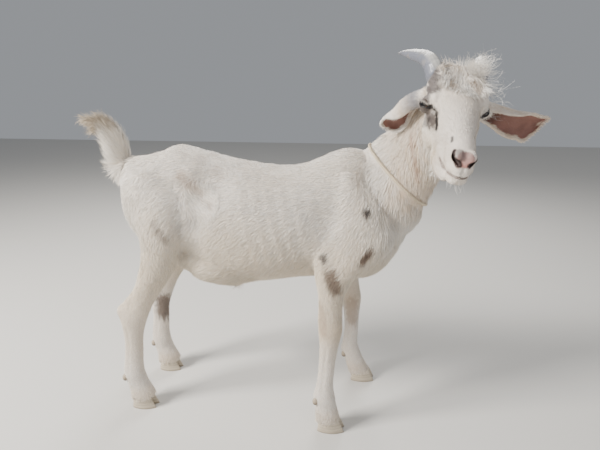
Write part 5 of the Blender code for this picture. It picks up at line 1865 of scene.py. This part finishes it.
def wisps(everything, q, chance):
    """Picks roots near each place of the table and turns them into long loose hairs."""
    chosen = []
    for place, reach, count, length, along, curl in WISPS:
        near = np.nonzero(np.linalg.norm(q - place, axis=1) < reach)[0]
        if len(near) == 0:
            continue
        picked = chance.choice(near, count)
        roots = {key: values[picked].copy() for key, values in everything.items()}
        flow = head_way(np.array([along])) + chance.normal(0, 0.30, (count, 3))
        rise = (flow * roots["normal"]).sum(1)
        flow -= roots["normal"] * rise[:, None]
        roots["size"][:, 1] = np.clip(rise, 0.25, 0.95)
        roots["flow"] = unit(flow)
        roots["size"][:, 0] = length
        roots["size"][:, 2] = 0.00036
        pale = 0.8 * ramp(roots["colour"][:, 0], 0.50, 0.70)
        roots["colour"] = mix(roots["colour"], POLL_WHITE, pale)
        roots["curl"][:] = curl
        roots["clump"][:] = 0
        chosen.append(roots)
    return {key: np.concatenate([roots[key] for roots in chosen]) for key in everything}


def coat_material():
    look = material("coat", rough=0.62, Sheen_Weight=0.25, Sheen_Roughness=0.4, Specular_IOR_Level=0.35)
    return painted(look)


def skin_material():
    look = material("skin", rough=0.60, Specular_IOR_Level=0.35)
    return painted(bump(look, 900, 0.0006, 0.5))


# Floor, light and camera


# Lamps: name, place, size, power, colour; and the point they are turned to
LAMPS = (
    ("key", (-1.9, -1.1, 2.1), 0.8, 190, (1.0, 0.97, 0.92)),
    ("fill", (1.7, -1.7, 1.2), 1.6, 13, (0.92, 0.95, 1.0)),
    ("rim", (0.2, 1.9, 2.1), 1.2, 50, (1.0, 0.98, 0.95)),
)
LAMP_AIM = Vector((0.1, 0, 0.45))
WORLD_COLOUR = (0.90, 0.94, 1.0, 1)
WORLD_STRENGTH = 0.34


def make_stage():
    floor = mesh_object("floor", [(-6, -6, 0), (6, -6, 0), (6, 6, 0), (-6, 6, 0)], [(0, 1, 2, 3)])
    floor.data.materials.append(material("floor", FLOOR, 0.9))
    world = bpy.data.worlds.new("studio")
    world.use_nodes = True
    world.node_tree.nodes["Background"].inputs["Color"].default_value = WORLD_COLOUR
    world.node_tree.nodes["Background"].inputs["Strength"].default_value = WORLD_STRENGTH
    bpy.context.scene.world = world
    for lamp in LAMPS:
        area_light(*lamp)


def area_light(name, place, size, power, colour):
    data = bpy.data.lights.new(name, "AREA")
    data.size = size
    data.energy = power
    data.color = colour
    made = bpy.data.objects.new(name, data)
    made.location = Vector(place) + OFFSET
    aim = LAMP_AIM + OFFSET - made.location
    made.rotation_euler = aim.to_track_quat("-Z", "Y").to_euler()
    bpy.context.scene.collection.objects.link(made)


def make_camera():
    data = bpy.data.cameras.new("camera")
    data.sensor_width = 36
    data.lens = CAMERA_LENS
    made = bpy.data.objects.new("camera", data)
    made.location = CAMERA_PLACE + OFFSET
    look = Vector((*CAMERA_WAY, -math.tan(CAMERA_DOWN)))
    made.rotation_euler = look.to_track_quat("-Z", "Y").to_euler()
    bpy.context.scene.collection.objects.link(made)
    bpy.context.scene.camera = made


# The nodes that the skin replaces
FLESH = (
    "head",
    "neck",
    "torso",
    "tail",
    "ear_left",
    "ear_right",
    "foreleg_left",
    "foreleg_right",
    "hindleg_left",
    "hindleg_right",
)


def main():
    skin = make_skin()
    dress(skin)
    settled(skin)
    finish_piece(skin, skin_material(), "coat", *FLESH)
    for side, word in ((1, "left"), (-1, "right")):
        make_eye(side, word)
        make_horn(side, word)
    make_feet()
    make_rope()
    make_stage()
    make_camera()


main()
